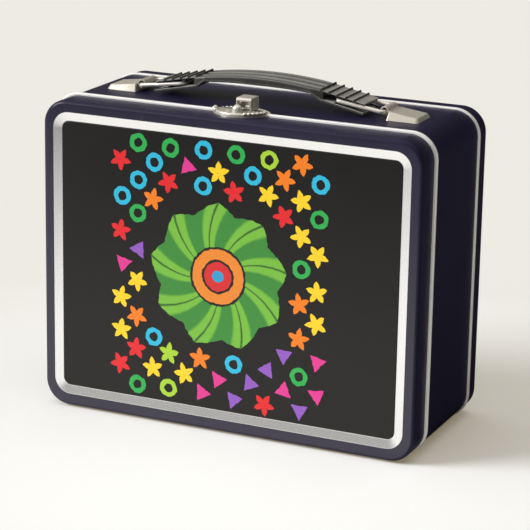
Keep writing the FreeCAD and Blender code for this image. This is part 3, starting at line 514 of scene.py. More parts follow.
# Handle
def rounded_polygon(corners, radius, steps=4):
    """Flat outline with its corners rounded."""
    count = len(corners)
    outline = []
    for index, corner in enumerate(corners):
        here = Vector(corner)
        before = (Vector(corners[index - 1]) - here).normalized()
        after = (Vector(corners[(index + 1) % count]) - here).normalized()
        half = before.angle(after) / 2
        reach = radius / math.tan(half)
        centre = here + (before + after).normalized() * (radius / math.sin(half))
        start = here + before * reach - centre
        end = here + after * reach - centre
        for step in range(steps + 1):
            spoke = start.lerp(end, step / steps).normalized() * radius
            outline.append(centre + spoke)
    return outline


LUG_TAPER = 1.2 * MM
LUG_CROWN = 0.15 * MM
LUG_SLOPE = 2.0
LUG_SHEET = 0.8 * MM
EYE_RADIUS = 2.2 * MM
EYE_BORE = 1.5 * MM
EYE_LENGTH = 12.6 * MM
EYE_RISE = 0.45 * MM
EYE_LIP = 0.15 * MM
COVER_START = EYE_X + 1.8 * MM
LUG_CORNER = 0.8 * MM
LUG_CORNER_LEAST = 0.15 * MM
CLAW_HALF = 3.0 * MM
CLAW_LENGTH = 4.8 * MM
CLAW_BEND = 0.3 * MM
# Inset in mm, share of the height, drop in mm and side slope of each line of a lug's cover
LUG_PROFILE = ((1.5, 1, 0.8, LUG_SLOPE), (0.8, 0, 0, 1), (0.1, 0, 0, 1), (0, 0, -0.1, LUG_SLOPE),
               (0.85, 1, 0.26, LUG_SLOPE), (0.93, 1, 0.12, LUG_SLOPE), (1.05, 1, 0.04, LUG_SLOPE),
               (1.25, 1, 0.01, LUG_SLOPE), (1.6, 1, 0, LUG_SLOPE))


def lug_plan(inset, slope):
    """Plan of a lug's cover, moved in by inset at its ends and by slope times that at its sides."""
    taper = LUG_TAPER - inset * (2 - math.sqrt(2))
    left = COVER_START + inset
    right = LUG_HIGH.x - inset
    half = LUG_HIGH.y - inset * slope
    corners = [(left, -half), (right - taper, -half), (right, taper - half),
               (right, half - taper), (right - taper, half), (left, half)]
    return rounded_polygon(corners, max(LUG_CORNER - inset * 0.4, LUG_CORNER_LEAST))


def lug_draft(side):
    """A pressed cover with a facet round its top, its rolled eye and the claws bent under the sheet."""
    handle = settings().handle
    draft = Draft()
    span = LUG_HIGH.x - COVER_START

    def level(point, share, drop):
        fall = (handle.lug_height - handle.lug_tail) * (point.x - COVER_START) / span
        crown = LUG_CROWN * (point.y / LUG_HIGH.y) ** 2
        return TOP + (handle.lug_height - fall - crown) * share - drop

    cover = []
    for inset, share, drop, slope in LUG_PROFILE:
        plan = lug_plan(inset * MM, slope)
        cover.append([Vector((point.x, point.y, level(point, share, drop * MM))) for point in plan])
    draft.loft(cover)
    eye = Vector((EYE_X, 0, EYE_Z + EYE_RISE))
    half = EYE_LENGTH / 2
    lip = EYE_LIP
    profile = [(EYE_BORE, lip - half), (EYE_BORE + lip, -half),
               (EYE_RADIUS - lip, -half), (EYE_RADIUS, lip - half),
               (EYE_RADIUS, half - lip), (EYE_RADIUS - lip, half),
               (EYE_BORE + lip, half), (EYE_BORE, half - lip)]
    draft.lathe(profile, eye, Vector((0, 1, 0)), closed=True)
    web_start = eye.x + 1.7 * MM
    web_end = COVER_START + 1.3 * MM
    lug_top = TOP + handle.lug_height
    web = [(web_start, eye.z + 0.7 * MM), (web_end, lug_top - 0.2 * MM),
           (web_end, lug_top - 0.8 * MM), (web_start, eye.z - 0.3 * MM)]
    draft.prism(web, lip - half, half - lip, lambda x, z, y: Vector((x, y, z)))
    claw_x = (COVER_START + LUG_HIGH.x) / 2
    for end in (-1, 1):
        outer = end * LUG_HIGH.y
        inner = end * (LUG_HIGH.y - LUG_SHEET)
        tip = end * (LUG_HIGH.y - CLAW_LENGTH)
        under = LUG_LOW.z + LUG_SHEET
        claw = [(outer, TOP), (outer, LUG_LOW.z + CLAW_BEND), (outer - end * CLAW_BEND, LUG_LOW.z),
                (tip, LUG_LOW.z), (tip, under), (inner, under), (inner, TOP)]
        draft.prism(claw, claw_x - CLAW_HALF, claw_x + CLAW_HALF, lambda y, z, x: Vector((x, y, z)))
    if side < 0:
        draft.points = [Vector((-point.x, -point.y, point.z)) for point in draft.points]
    return draft


def build_handle_lugs():
    """Both lugs; the left one is the right one turned round."""
    for name, side in SIDES:
        lug = lug_draft(side).build(f"lug_cover_{name}", [material("nickel")])
        place_piece(smooth(lug), "case", [f"handle_lug_{name}"])


SLOT_HALF = 1.45 * MM
TONGUE_PLATE = 1.25 * MM
TONGUE_SLOPE = 0.2
BAR_ANGLE = math.radians(8)
SLOT_RISE = 0.1 * MM
BASE_SHEET = 1.1 * MM
WIRE_CHANNEL = 0.7 * MM
CHANNEL_HALF = 1.4 * MM
POST_LENGTH = 2.4 * MM
POST_HALF = 6.0 * MM
POST_OFFSET = 6.9 * MM
SLOT_LENGTH = 6.7 * MM
RAMP_LENGTH = 6.0 * MM
RAMP_FOOT = 1.5 * MM
GRIP_CROWN = 13.9 * MM
GRIP_THICKNESS = 2.3 * MM
SHOULDER_DROP = 1.1 * MM
FLUTE_FADE = 6.0 * MM
TOP_ROUNDING = 0.9 * MM
TONGUE_ROUNDING = 0.45 * MM
STRIP_ROUNDING = 0.2 * MM
LENGTH_STEP = 1.2 * MM
CROSS_STEP = 0.45 * MM
EDGE_STEPS = (0.15 * MM, 0.04 * MM)
RIB_SETBACK = 1.2 * MM
RIB_OVERHANG = 0.1 * MM
TONGUE_NARROWING = 0.12


class GripShape:
    """Heights of the moulded grip along and across its length"""

    def __init__(self):
        handle = settings().handle
        self.bar_x = EYE_X - handle.ring_length * math.cos(BAR_ANGLE)
        self.bar_z = EYE_Z + handle.ring_length * math.sin(BAR_ANGLE) + SLOT_RISE
        self.slot_start = self.bar_x - SLOT_LENGTH
        self.shoulder = self.slot_start - RAMP_LENGTH
        self.ramp_foot = self.slot_start - RAMP_FOOT
        self.post = self.bar_x + POST_OFFSET
        self.end = GRIP_HIGH.x
        self.crown = TOP + GRIP_CROWN
        self.under = self.crown - GRIP_THICKNESS
        self.shoulder_z = self.under - SHOULDER_DROP
        self.half = GRIP_HIGH.y
        self.spacing = handle.ring_spacing / 2
        self.flute_depth = handle.flute_depth
        self.flute_count = handle.flute_count

    def slot(self, x, lift):
        """Height of the slot's middle line at x, moved up by lift."""
        return self.bar_z + lift - TONGUE_SLOPE * (x - self.bar_x)

    def arch(self, x, span, crown, drop):
        """Height at x of an arch that falls by drop from its crown over its half span."""
        radius = (span * span + drop * drop) / (2 * drop)
        return crown - radius + math.sqrt(radius * radius - x * x)

    def top(self, x, y):
        """Height of the upper side, with its flutes and rounded edges."""
        plate = self.slot(x, SLOT_HALF + TONGUE_PLATE)
        flute = 0.0
        if x < self.slot_start:
            foot = self.slot(self.slot_start, SLOT_HALF + TONGUE_PLATE)
            plate = self.arch(x, self.slot_start, self.crown, self.crown - foot)
            fade = min(1.0, (self.slot_start - x) / FLUTE_FADE)
            wave = 0.5 - 0.5 * math.cos(math.tau * self.flute_count * (y / (2 * self.half) + 0.5))
            flute = self.flute_depth * wave * fade
        rounding = TOP_ROUNDING if x < self.slot_start else TONGUE_ROUNDING
        edge = max(0.0, abs(y) - self.half + rounding)
        return plate - flute - rounding + math.sqrt(max(rounding * rounding - edge * edge, 0.0))

    def bottom(self, x, y):
        """Height of the lower side: arch, ramp, slot, post and the channels for the wires."""
        if x <= self.shoulder:
            return self.arch(x, self.shoulder, self.under, self.under - self.shoulder_z)
        if x <= self.ramp_foot:
            share = (x - self.shoulder) / (self.ramp_foot - self.shoulder)
            return self.shoulder_z + share * (self.slot(self.ramp_foot, -SLOT_HALF) - self.shoulder_z)
        if x <= self.slot_start:
            return self.slot(x, -SLOT_HALF)
        if self.post < x < self.post + POST_LENGTH and abs(y) < POST_HALF:
            return self.slot(x, -SLOT_HALF - BASE_SHEET)
        if abs(y) > self.spacing - CHANNEL_HALF:
            return self.slot(x, SLOT_HALF + WIRE_CHANNEL)
        return self.slot(x, SLOT_HALF)

    def narrow(self, x):
        """Share of the full width that the grip has at x."""
        share = min(1.0, max(0.0, (x - self.shoulder) / (self.slot_start - self.shoulder)))
        return 1.0 - TONGUE_NARROWING * share


def stations(low, high, step, jumps):
    """Places from low to high about a step apart, with two close together at each jump."""
    count = max(1, round((high - low) / step))
    places = {low + (high - low) * index / count for index in range(count + 1)}
    for jump in jumps:
        places.update((jump - TINY_STEP, jump + TINY_STEP))
    return sorted(place for place in places if low <= place <= high)


def build_grip():
    """The moulded grip, its cross ribs and its lower strip."""
    shape = GripShape()
    jumps = [shape.shoulder, shape.ramp_foot, shape.slot_start, shape.bar_x, shape.post,
             shape.post + POST_LENGTH]
    right = stations(0.0, shape.end, LENGTH_STEP, jumps)
    along = [-x for x in reversed(right[1:])] + right
    channels = [shape.spacing - CHANNEL_HALF, POST_HALF]
    across = stations(0.0, shape.half, CROSS_STEP, channels)
    across = sorted(across + [shape.half - step for step in EDGE_STEPS])
    across = [-y for y in reversed(across[1:])] + across
    draft = Draft()
    upper = []
    lower = []
    for x in along:
        narrow = shape.narrow(abs(x))
        upper.append(draft.ring([Vector((x, y * narrow, shape.top(abs(x), y))) for y in across]))
        lower.append(draft.ring([Vector((x, y * narrow, shape.bottom(abs(x), y))) for y in across]))
    for index in range(len(along) - 1):
        draft.strip(upper[index], upper[index + 1], closed=False)
        draft.strip(lower[index + 1], lower[index], closed=False)
    for first, second in ((upper[0], lower[0]), (lower[-1], upper[-1])):
        draft.strip(first, second, closed=False)
    for column in (0, -1):
        draft.strip([ring[column] for ring in upper], [ring[column] for ring in lower], closed=False)
    grip = draft.build("grip_moulding", [material("grip")])
    smooth(grip, math.radians(40))
    nodes = rib_tree()
    for name, side in SIDES:
        ribs = rib_row(nodes, f"grip_ribs_{name}", shape, side)
        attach(ribs, "handle")
    place_piece(grip, "handle", ["grip_top"])
    base = cad_copy("grip_base", "grip_strip", material("strip"), STRIP_ROUNDING)
    place_piece(base, "handle", ["grip_base"])


# Geometry node trees
class NodeTree:
    """A geometry node tree with named inputs that are set by socket identifier"""

    def __init__(self, name, sizes):
        self.tree = bpy.data.node_groups.new(name, "GeometryNodeTree")
        face = self.tree.interface
        face.new_socket(name="Geometry", in_out="INPUT", socket_type="NodeSocketGeometry")
        face.new_socket(name="Geometry", in_out="OUTPUT", socket_type="NodeSocketGeometry")
        for label, kind in sizes:
            face.new_socket(name=label, in_out="INPUT", socket_type=f"NodeSocket{kind}")
        face.new_socket(name="Material", in_out="INPUT", socket_type="NodeSocketMaterial")
        self.start = self.tree.nodes.new("NodeGroupInput")

    def size(self, label):
        return self.start.outputs[label]

    def place(self, kind, inputs=None, **choices):
        return place_node(self.tree, f"GeometryNode{kind}", inputs, **choices)

    def finish(self, geometry):
        """Ends the tree in real, smooth faces of one material."""
        real = self.place("RealizeInstances", {"Geometry": geometry})
        even = self.place("SetShadeSmooth", {"Geometry": real.outputs[0]})
        painted = self.place("SetMaterial", {"Geometry": even.outputs[0], "Material": self.size("Material")})
        end = self.tree.nodes.new("NodeGroupOutput")
        self.tree.links.new(painted.outputs[0], end.inputs[0])

    def make(self, name, points, sizes, finish):
        """A plain mesh made by the tree from some points and sizes."""
        mesh = bpy.data.meshes.new(name)
        mesh.from_pydata([tuple(point) for point in points], [], [])
        piece = new_object(name, mesh)
        maker = piece.modifiers.new("maker", "NODES")
        maker.node_group = self.tree
        values = dict(sizes)
        values["Material"] = finish
        for item in self.tree.interface.items_tree:
            if item.in_out == "INPUT" and item.name in values:
                maker[item.identifier] = values[item.name]
        return clean(bake(piece), recalculate=False)


def place_node(tree, kind, inputs=None, **choices):
    """Adds a node, sets its choices and then its inputs to values or links."""
    node = tree.nodes.new(kind)
    for choice, setting in choices.items():
        setattr(node, choice, setting)
    for socket, content in (inputs or {}).items():
        if isinstance(content, bpy.types.NodeSocket):
            tree.links.new(content, node.inputs[socket])
        else:
            node.inputs[socket].default_value = content
    return node


def wire_tree():
    """A closed ring of round wire, set in place by its own inputs."""
    nodes = NodeTree("wire_ring", [("Length", "Float"), ("Spacing", "Float"), ("Bend", "Float"),
                                   ("Wire Radius", "Float"), ("Place", "Vector"), ("Turn", "Rotation")])
    path = nodes.place("CurvePrimitiveQuadrilateral", {"Width": nodes.size("Length"),
                                                       "Height": nodes.size("Spacing")})
    bent = nodes.place("FilletCurve", {"Curve": path.outputs[0], "Count": 8,
                                       "Radius": nodes.size("Bend")}, mode="POLY")
    section = nodes.place("CurvePrimitiveCircle", {"Resolution": 20, "Radius": nodes.size("Wire Radius")})
    wire = nodes.place("CurveToMesh", {"Curve": bent.outputs[0], "Profile Curve": section.outputs[0]})
    placed = nodes.place("Transform", {"Geometry": wire.outputs[0], "Translation": nodes.size("Place"),
                                       "Rotation": nodes.size("Turn")})
    nodes.finish(placed.outputs[0])
    return nodes


def build_wire_rings():
    """Both wire rings as they lie at rest."""
    handle = settings().handle
    nodes = wire_tree()
    for name, side in SIDES:
        turn = Euler((0, side * BAR_ANGLE, 0))
        reach = Vector((-side * handle.ring_length / 2, 0, 0))
        middle = Vector((side * EYE_X, 0, EYE_Z)) + turn.to_matrix() @ reach
        sizes = {"Length": handle.ring_length, "Spacing": handle.ring_spacing, "Bend": handle.ring_corner,
                 "Wire Radius": handle.wire_diameter / 2, "Place": middle, "Turn": turn}
        ring = nodes.make(f"wire_ring_{name}", [(0, 0, 0)], sizes, material("wire"))
        place_piece(ring, f"loop_{name}", [f"wire_loop_{name}"])


def rib_tree():
    """A row of cross ribs with a rounded section."""
    nodes = NodeTree("grip_ribs", [("Count", "Int"), ("Start", "Vector"), ("Step", "Vector"),
                                   ("Reach", "Float"), ("Half Width", "Float"), ("Height", "Float")])
    row = nodes.place("MeshLine", {"Count": nodes.size("Count"), "Start Location": nodes.size("Start"),
                                   "Offset": nodes.size("Step")})
    low = place_node(nodes.tree, "ShaderNodeCombineXYZ", {"Y": nodes.size("Reach")})
    flip = place_node(nodes.tree, "ShaderNodeVectorMath", {0: low.outputs[0], 1: (-1.0, -1.0, -1.0)},
                      operation="MULTIPLY")
    line = nodes.place("CurvePrimitiveLine", {"Start": low.outputs[0], "End": flip.outputs[0]})
    circle = nodes.place("CurvePrimitiveCircle", {"Resolution": 14, "Radius": 1.0})
    scale = place_node(nodes.tree, "ShaderNodeCombineXYZ", {"X": nodes.size("Half Width"),
                                                            "Y": nodes.size("Height"), "Z": 1.0})
    section = nodes.place("Transform", {"Geometry": circle.outputs[0], "Scale": scale.outputs[0]})
    bar = nodes.place("CurveToMesh", {"Curve": line.outputs[0], "Profile Curve": section.outputs[0],
                                      "Fill Caps": True})
    ribs = nodes.place("InstanceOnPoints", {"Points": row.outputs[0], "Instance": bar.outputs[0]})
    nodes.finish(ribs.outputs[0])
    return nodes


def rib_row(nodes, name, shape, side):
    """Cross ribs on one sloped end of the grip."""
    handle = settings().handle
    lift = SLOT_HALF + TONGUE_PLATE
    first = shape.slot_start - RIB_SETBACK
    start = Vector((side * first, 0, shape.slot(first, lift)))
    step = Vector((side * handle.rib_pitch, 0, -TONGUE_SLOPE * handle.rib_pitch))
    reach = shape.half * (1 - TONGUE_NARROWING) + RIB_OVERHANG
    sizes = {"Count": handle.rib_count, "Start": start, "Step": step, "Reach": reach,
             "Half Width": handle.rib_width / 2, "Height": handle.rib_height}
    return nodes.make(name, [(0, 0, 0)], sizes, material("grip"))


# Clasp
CLASP_X = (KEEPER_LOW.x + KEEPER_HIGH.x) / 2
CLASP_HALF = (KEEPER_HIGH.x - KEEPER_LOW.x) / 2
PLATE_SHOULDER = 2.5 * MM
LATCH_REACH = 9.35 * MM
DOME_X = HOOD_X - 2.0 * MM
DOME_Y = LID_EDGE - 7.35 * MM
DOME_RISE = 0.9 * MM
# How far the dome's foot stands out and up at each line, in mm
DOME_FOOT = ((1.2, 1.2), (0.8, 1.5), (0.3, 1.9))
PLATE_DISH = (2.3 * MM, 2.6 * MM)
PLATE_DISH_DEPTH = 0.2 * MM
EAR_RADIUS = 1.4 * MM
EAR_FACES = (2.35 * MM, 3.15 * MM)
EAR_ROOT = 0.4 * MM
KEEPER_RISE = 2.0 * MM
KEEPER_EDGE = 1.0 * MM
KEEPER_ROLL = 0.9 * MM
KEEPER_DISH = (0.4 * MM, 1.2 * MM)
BACK_BEAD_INSET = 0.1 * MM
BACK_BEAD_SHARE = 0.3
FRONT_BEAD_INSET = 0.5 * MM
FRONT_BEAD_RISE = 1.75 * MM
HOOD_ROUNDING = 0.28 * MM
SPRING_HALF = 2.2 * MM
SPRING_FACES = (1.9 * MM, 1.5 * MM)
SPRING_ENDS = (2.5 * MM, 7.8 * MM)


def plate_ring(chord_y, reach, inset, z, turn, steps=36):
    """Plan of a clasp plate with blunt ends and an arched edge; turn is 1 for an arch towards +Y."""
    arch = reach - PLATE_SHOULDER
    radius = (CLASP_HALF * CLASP_HALF + arch * arch) / (2 * arch)
    middle = chord_y + turn * (reach - radius)
    half = CLASP_HALF - inset
    inner = radius - inset
    limit = math.asin(half / inner)
    ring = [Vector((CLASP_X + half, chord_y, z))]
    for step in range(steps + 1):
        angle = limit * (1 - 2 * step / steps)
        ring.append(Vector((CLASP_X + inner * math.sin(angle), middle + turn * inner * math.cos(angle), z)))
    ring.append(Vector((CLASP_X - half, chord_y, z)))
    return ring


def even_spots(path, pitch, first, last):
    """Places along a path, a pitch apart, between two distances from its start."""
    spots = []
    travelled = 0.0
    wanted = first
    for here, after in zip(path, path[1:]):
        run = (after - here).length
        while run > 0 and wanted <= min(travelled + run, last):
            spots.append(here.lerp(after, (wanted - travelled) / run))
            wanted += pitch
        travelled += run
    return spots


def path_length(path):
    """Length of a path of points."""
    return sum((after - here).length for here, after in zip(path, path[1:]))


def build_latch_base():
    """The clasp's plate on the wall, with two ears for its pin."""
    clasp = settings().clasp
    top = TOP + clasp.plate
    rounding = 0.25 * MM

    def outline(inset, z):
        return plate_ring(BAND_EDGE, LATCH_REACH, inset, z, 1)

    outlines = [outline(0.0, TOP)]
    for angle in arc(0, 90, 3):
        outlines.append(outline(rounding * (1 - math.cos(angle)), top - rounding * (1 - math.sin(angle))))
    outlines.append(outline(PLATE_DISH[0], top))
    outlines.append(outline(PLATE_DISH[1], top - PLATE_DISH_DEPTH))
    draft = Draft()
    draft.loft(outlines)
    pivot = Vector(JOINTS["hood_hinge"]["pos_m"])
    for side in (-1, 1):
        faces = sorted(HOOD_X + side * reach for reach in EAR_FACES)
        ear = [(pivot.y - EAR_RADIUS, top - EAR_ROOT), (pivot.y + EAR_RADIUS, top - EAR_ROOT)]
        for angle in arc(0, 180, 10):
            ear.append((pivot.y + EAR_RADIUS * math.cos(angle), pivot.z + EAR_RADIUS * math.sin(angle)))
        draft.prism(ear, faces[0], faces[1], lambda y, z, x: Vector((x, y, z)))
    base = draft.build("clasp_plate", [material("clasp")])
    place_piece(smooth(base), "case", ["latch_base"])


def build_keeper():
    """The clasp's half on the lid: a rolled rim, a dish and the snap dome."""
    clasp = settings().clasp
    reach = KEEPER_HIGH.y - KEEPER_LOW.y
    top = TOP + KEEPER_RISE
    width = clasp.rim_width / 2

    def outline(inset, z):
        return plate_ring(LID_EDGE, reach, inset, z, -1)

    outlines = [outline(0.0, TOP), outline(0.0, top - KEEPER_EDGE)]
    for angle in arc(0, 150, 8):
        outlines.append(outline(width * (1 - math.cos(angle)), top - KEEPER_ROLL * (1 - math.sin(angle))))
    for step in KEEPER_DISH:
        outlines.append(outline(clasp.rim_width + step, top - clasp.dish_depth))
    draft = Draft()
    draft.loft(outlines)
    radius = clasp.dome_radius
    dome_top = KEEPER_HIGH.z - TOP + DOME_RISE
    profile = [(0.05 * MM, 0.0)]
    profile += [(radius + out * MM, rise * MM) for out, rise in DOME_FOOT]
    for angle in arc(8, 88, 10):
        profile.append((radius * math.cos(angle), dome_top - radius * (1 - math.sin(angle))))
    draft.lathe(profile, Vector((DOME_X, DOME_Y, TOP)), Vector((0, 0, 1)), steps=36)
    keeper = draft.build("clasp_keeper", [material("clasp")])
    place_piece(smooth(keeper), "lid", ["keeper_plate"])


def bead_tree():
    """A round bead at every point of a mesh."""
    nodes = NodeTree("beads", [("Bead Radius", "Float"), ("Flatten", "Vector")])
    ball = nodes.place("MeshUVSphere", {"Segments": 16, "Rings": 10, "Radius": nodes.size("Bead Radius")})
    beads = nodes.place("InstanceOnPoints", {"Points": nodes.size("Geometry"), "Instance": ball.outputs[0],
                                             "Scale": nodes.size("Flatten")})
    nodes.finish(beads.outputs[0])
    return nodes


def build_clasp_beads():
    """Beads round the clasp plate and along both ends of the keeper."""
    clasp = settings().clasp
    pitch = clasp.bead_pitch
    back = plate_ring(BAND_EDGE, LATCH_REACH, BACK_BEAD_INSET, TOP + clasp.plate * BACK_BEAD_SHARE, 1)
    front = plate_ring(LID_EDGE, KEEPER_HIGH.y - KEEPER_LOW.y, FRONT_BEAD_INSET, TOP + FRONT_BEAD_RISE, -1)
    whole = path_length(front)
    ends = even_spots(front, pitch, pitch, clasp.right_run)
    ends += even_spots(front, pitch, whole - clasp.left_run, whole - pitch / 2)
    nodes = bead_tree()
    sizes = {"Bead Radius": clasp.bead_radius, "Flatten": Vector((1, 1, 0.8))}
    border = even_spots(back, pitch, pitch, path_length(back) - pitch / 2)
    for name, body, spots in (("clasp_beads", "case", border), ("keeper_beads", "lid", ends)):
        beads = nodes.make(name, spots, sizes, material("clasp"))
        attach(beads, body)


def build_latch_hood():
    """The snap hood and the spring plate inside it."""
    hood = cad_copy("latch_hood", "clasp_hood", material("clasp"), HOOD_ROUNDING)
    place_piece(hood, "hood", ["latch_hood"])
    pivot_y = JOINTS["hood_hinge"]["pos_m"][1]
    spring = box_draft((HOOD_X - SPRING_HALF, pivot_y - SPRING_FACES[0], TOP + SPRING_ENDS[0]),
                       (HOOD_X + SPRING_HALF, pivot_y - SPRING_FACES[1], TOP + SPRING_ENDS[1]))
    plate = spring.build("clasp_spring", [material("steel")])
    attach(plate, "hood")


# Hinges, pins and rivets
STEEL_ROUNDING = 0.12 * MM
SHANK_RADIUS = 0.8 * MM
HEAD_RADIUS = 1.4 * MM
HEAD_RISE = 0.5 * MM


def rivet_tree():
    """Domed rivets at the points of a mesh."""
    nodes = NodeTree("rivets", [("Shank Radius", "Float"), ("Head Radius", "Float"), ("Length", "Float"),
                                ("Dome", "Vector")])
    shank = nodes.place("MeshCylinder", {"Vertices": 16, "Radius": nodes.size("Shank Radius"),
                                         "Depth": nodes.size("Length")})
    ball = nodes.place("MeshUVSphere", {"Segments": 20, "Rings": 12, "Radius": nodes.size("Head Radius")})
    parts = [shank.outputs["Mesh"]]
    for share in (0.5, -0.5):
        end = value_math(nodes.tree, "MULTIPLY", nodes.size("Length"), share)
        spot = place_node(nodes.tree, "ShaderNodeCombineXYZ", {"Z": end})
        head = nodes.place("Transform", {"Geometry": ball.outputs["Mesh"], "Translation": spot.outputs[0],
                                         "Scale": nodes.size("Dome")})
        parts.append(head.outputs[0])
    rivet = nodes.tree.nodes.new("GeometryNodeJoinGeometry")
    for part in parts:
        nodes.tree.links.new(part, rivet.inputs[0])
    rivets = nodes.place("InstanceOnPoints", {"Points": nodes.size("Geometry"), "Instance": rivet.outputs[0]})
    nodes.finish(rivets.outputs[0])
    return nodes


def rivet_spots(node):
    """Middles of the separate rivets in one CAD node."""
    work = bmesh.new()
    work.from_mesh(frame["nodes"][node].data)
    bmesh.ops.remove_doubles(work, verts=work.verts, dist=MERGE_DISTANCE)
    left = set(work.verts)
    spots = []
    while left:
        group = [left.pop()]
        for point in group:
            for edge in point.link_edges:
                other = edge.other_vert(point)
                if other in left:
                    left.remove(other)
                    group.append(other)
        low = [min(point.co[axis] for point in group) for axis in range(3)]
        high = [max(point.co[axis] for point in group) for axis in range(3)]
        spots.append((Vector(low) + Vector(high)) / 2)
    work.free()
    return spots


def build_rivets():
    """Domed rivets where the CAD rivets are."""
    nodes = rivet_tree()
    for node, body, slot in (("hinge_rivets_body", "case", "steel"), ("hinge_rivets_lid", "lid", "steel"),
                             ("latch_rivets", "case", "nickel"), ("keeper_rivets", "lid", "nickel")):
        low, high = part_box(node)
        sizes = {"Shank Radius": SHANK_RADIUS, "Head Radius": HEAD_RADIUS,
                 "Length": high.z - low.z - 2 * HEAD_RISE, "Dome": Vector((1, 1, HEAD_RISE / HEAD_RADIUS))}
        name = node.replace("_rivets", "_rivet_heads")
        rivets = nodes.make(name, rivet_spots(node), sizes, material(slot))
        place_piece(rivets, body, [node])


def build_hinges():
    """Hinge leaves, pins and the lugs' backing strips."""
    for side in ("left", "right"):
        for node, body in ((f"hinge_leaf_body_{side}", "case"), (f"hinge_leaf_lid_{side}", "lid"),
                           (f"hinge_pin_{side}", "case")):
            leaf = cad_copy(node, f"{node}_plate", material("steel"), STEEL_ROUNDING)
            place_piece(leaf, body, [node])
        node = f"lug_backing_{side}"
        backing = cad_copy(node, f"{node}_plate", material("steel"), STEEL_ROUNDING)
        place_piece(backing, "case", [node])
    pin = cad_copy("latch_pin", "clasp_pin", material("steel"), STEEL_ROUNDING)
    place_piece(pin, "case", ["latch_pin"])


# Shader groups
def value_math(tree, operation, first, second=0.0, third=0.0):
    """The result of one operation on up to three numbers."""
    return place_node(tree, "ShaderNodeMath", {0: first, 1: second, 2: third}, operation=operation).outputs[0]


def colour_mix(tree, share, first, second):
    """Two colours mixed by a share of the second."""
    return place_node(tree, "ShaderNodeMix", {0: share, 6: first, 7: second}, data_type="RGBA").outputs[2]


def ramp(tree, source, low, high, low_value=0.0, high_value=1.0):
    """Turns one range of numbers into another and holds it at both ends."""
    return place_node(tree, "ShaderNodeMapRange", {0: source, 1: low, 2: high, 3: low_value, 4: high_value},
                      clamp=True).outputs[0]


def axes(tree, source):
    """The three parts of a vector."""
    return place_node(tree, "ShaderNodeSeparateXYZ", {0: source}).outputs


def vector_value(tree, operation, first, second):
    """A number from two vectors, such as a distance."""
    node = place_node(tree, "ShaderNodeVectorMath", {0: first, 1: second}, operation=operation)
    return node.outputs["Value"]


def middle_distance(tree, across, up):
    """Distance from the middle of a flat pattern."""
    square = value_math(tree, "ADD", value_math(tree, "MULTIPLY", across, across),
                        value_math(tree, "MULTIPLY", up, up))
    return value_math(tree, "SQRT", square)


def shader_group(name, inputs, outputs):
    """An empty shader group with named inputs and outputs."""
    if name in bpy.data.node_groups:
        return bpy.data.node_groups[name], None, None
    tree = bpy.data.node_groups.new(name, "ShaderNodeTree")
    for label, kind, default in inputs:
        socket = tree.interface.new_socket(name=label, in_out="INPUT", socket_type=f"NodeSocket{kind}")
        socket.default_value = default
    for label, kind in outputs:
        tree.interface.new_socket(name=label, in_out="OUTPUT", socket_type=f"NodeSocket{kind}")
    return tree, tree.nodes.new("NodeGroupInput"), tree.nodes.new("NodeGroupOutput")


def grain_group():
    """Fine grain: a height for bump and a mask of the same speckle."""
    tree, start, end = shader_group("fine_grain",
                                    [("Vector", "Vector", (0, 0, 0)), ("Size", "Float", 1500.0)],
                                    [("Height", "Float"), ("Mask", "Float")])
    if start:
        noise = place_node(tree, "ShaderNodeTexNoise", {"Vector": start.outputs["Vector"],
                                                        "Scale": start.outputs["Size"], "Detail": 3.0,
                                                        "Roughness": 0.55})
        tree.links.new(noise.outputs[0], end.inputs["Height"])
        tree.links.new(ramp(tree, noise.outputs[0], 0.35, 0.68), end.inputs["Mask"])
    return tree


def handling_group():
    """Smudges and small scuffs from handling, as two masks."""
    tree, start, end = shader_group("handling_marks",
                                    [("Vector", "Vector", (0, 0, 0)), ("Smudge Size", "Float", 28.0),
                                     ("Scuff Size", "Float", 260.0)],
                                    [("Smudge", "Float"), ("Scuff", "Float")])
    if start:
        cloud = place_node(tree, "ShaderNodeTexNoise", {"Vector": start.outputs["Vector"],
                                                        "Scale": start.outputs["Smudge Size"], "Detail": 5.0,
                                                        "Distortion": 0.6})
        tree.links.new(ramp(tree, cloud.outputs[0], 0.38, 0.72), end.inputs["Smudge"])
        stretch = place_node(tree, "ShaderNodeVectorMath", {0: start.outputs["Vector"], 1: (1.0, 0.35, 0.25)},
                             operation="MULTIPLY")
        mark = place_node(tree, "ShaderNodeTexNoise", {"Vector": stretch.outputs[0],
                                                       "Scale": start.outputs["Scuff Size"], "Detail": 6.0,
                                                       "Roughness": 0.7})
        tree.links.new(ramp(tree, mark.outputs[0], 0.66, 0.74), end.inputs["Scuff"])
    return tree


BUMP_DEPTH = 0.1 * MM
SCUFF_COLOUR = (0.25, 0.25, 0.28, 1.0)
DUST_COLOUR = (0.32, 0.31, 0.29, 1.0)


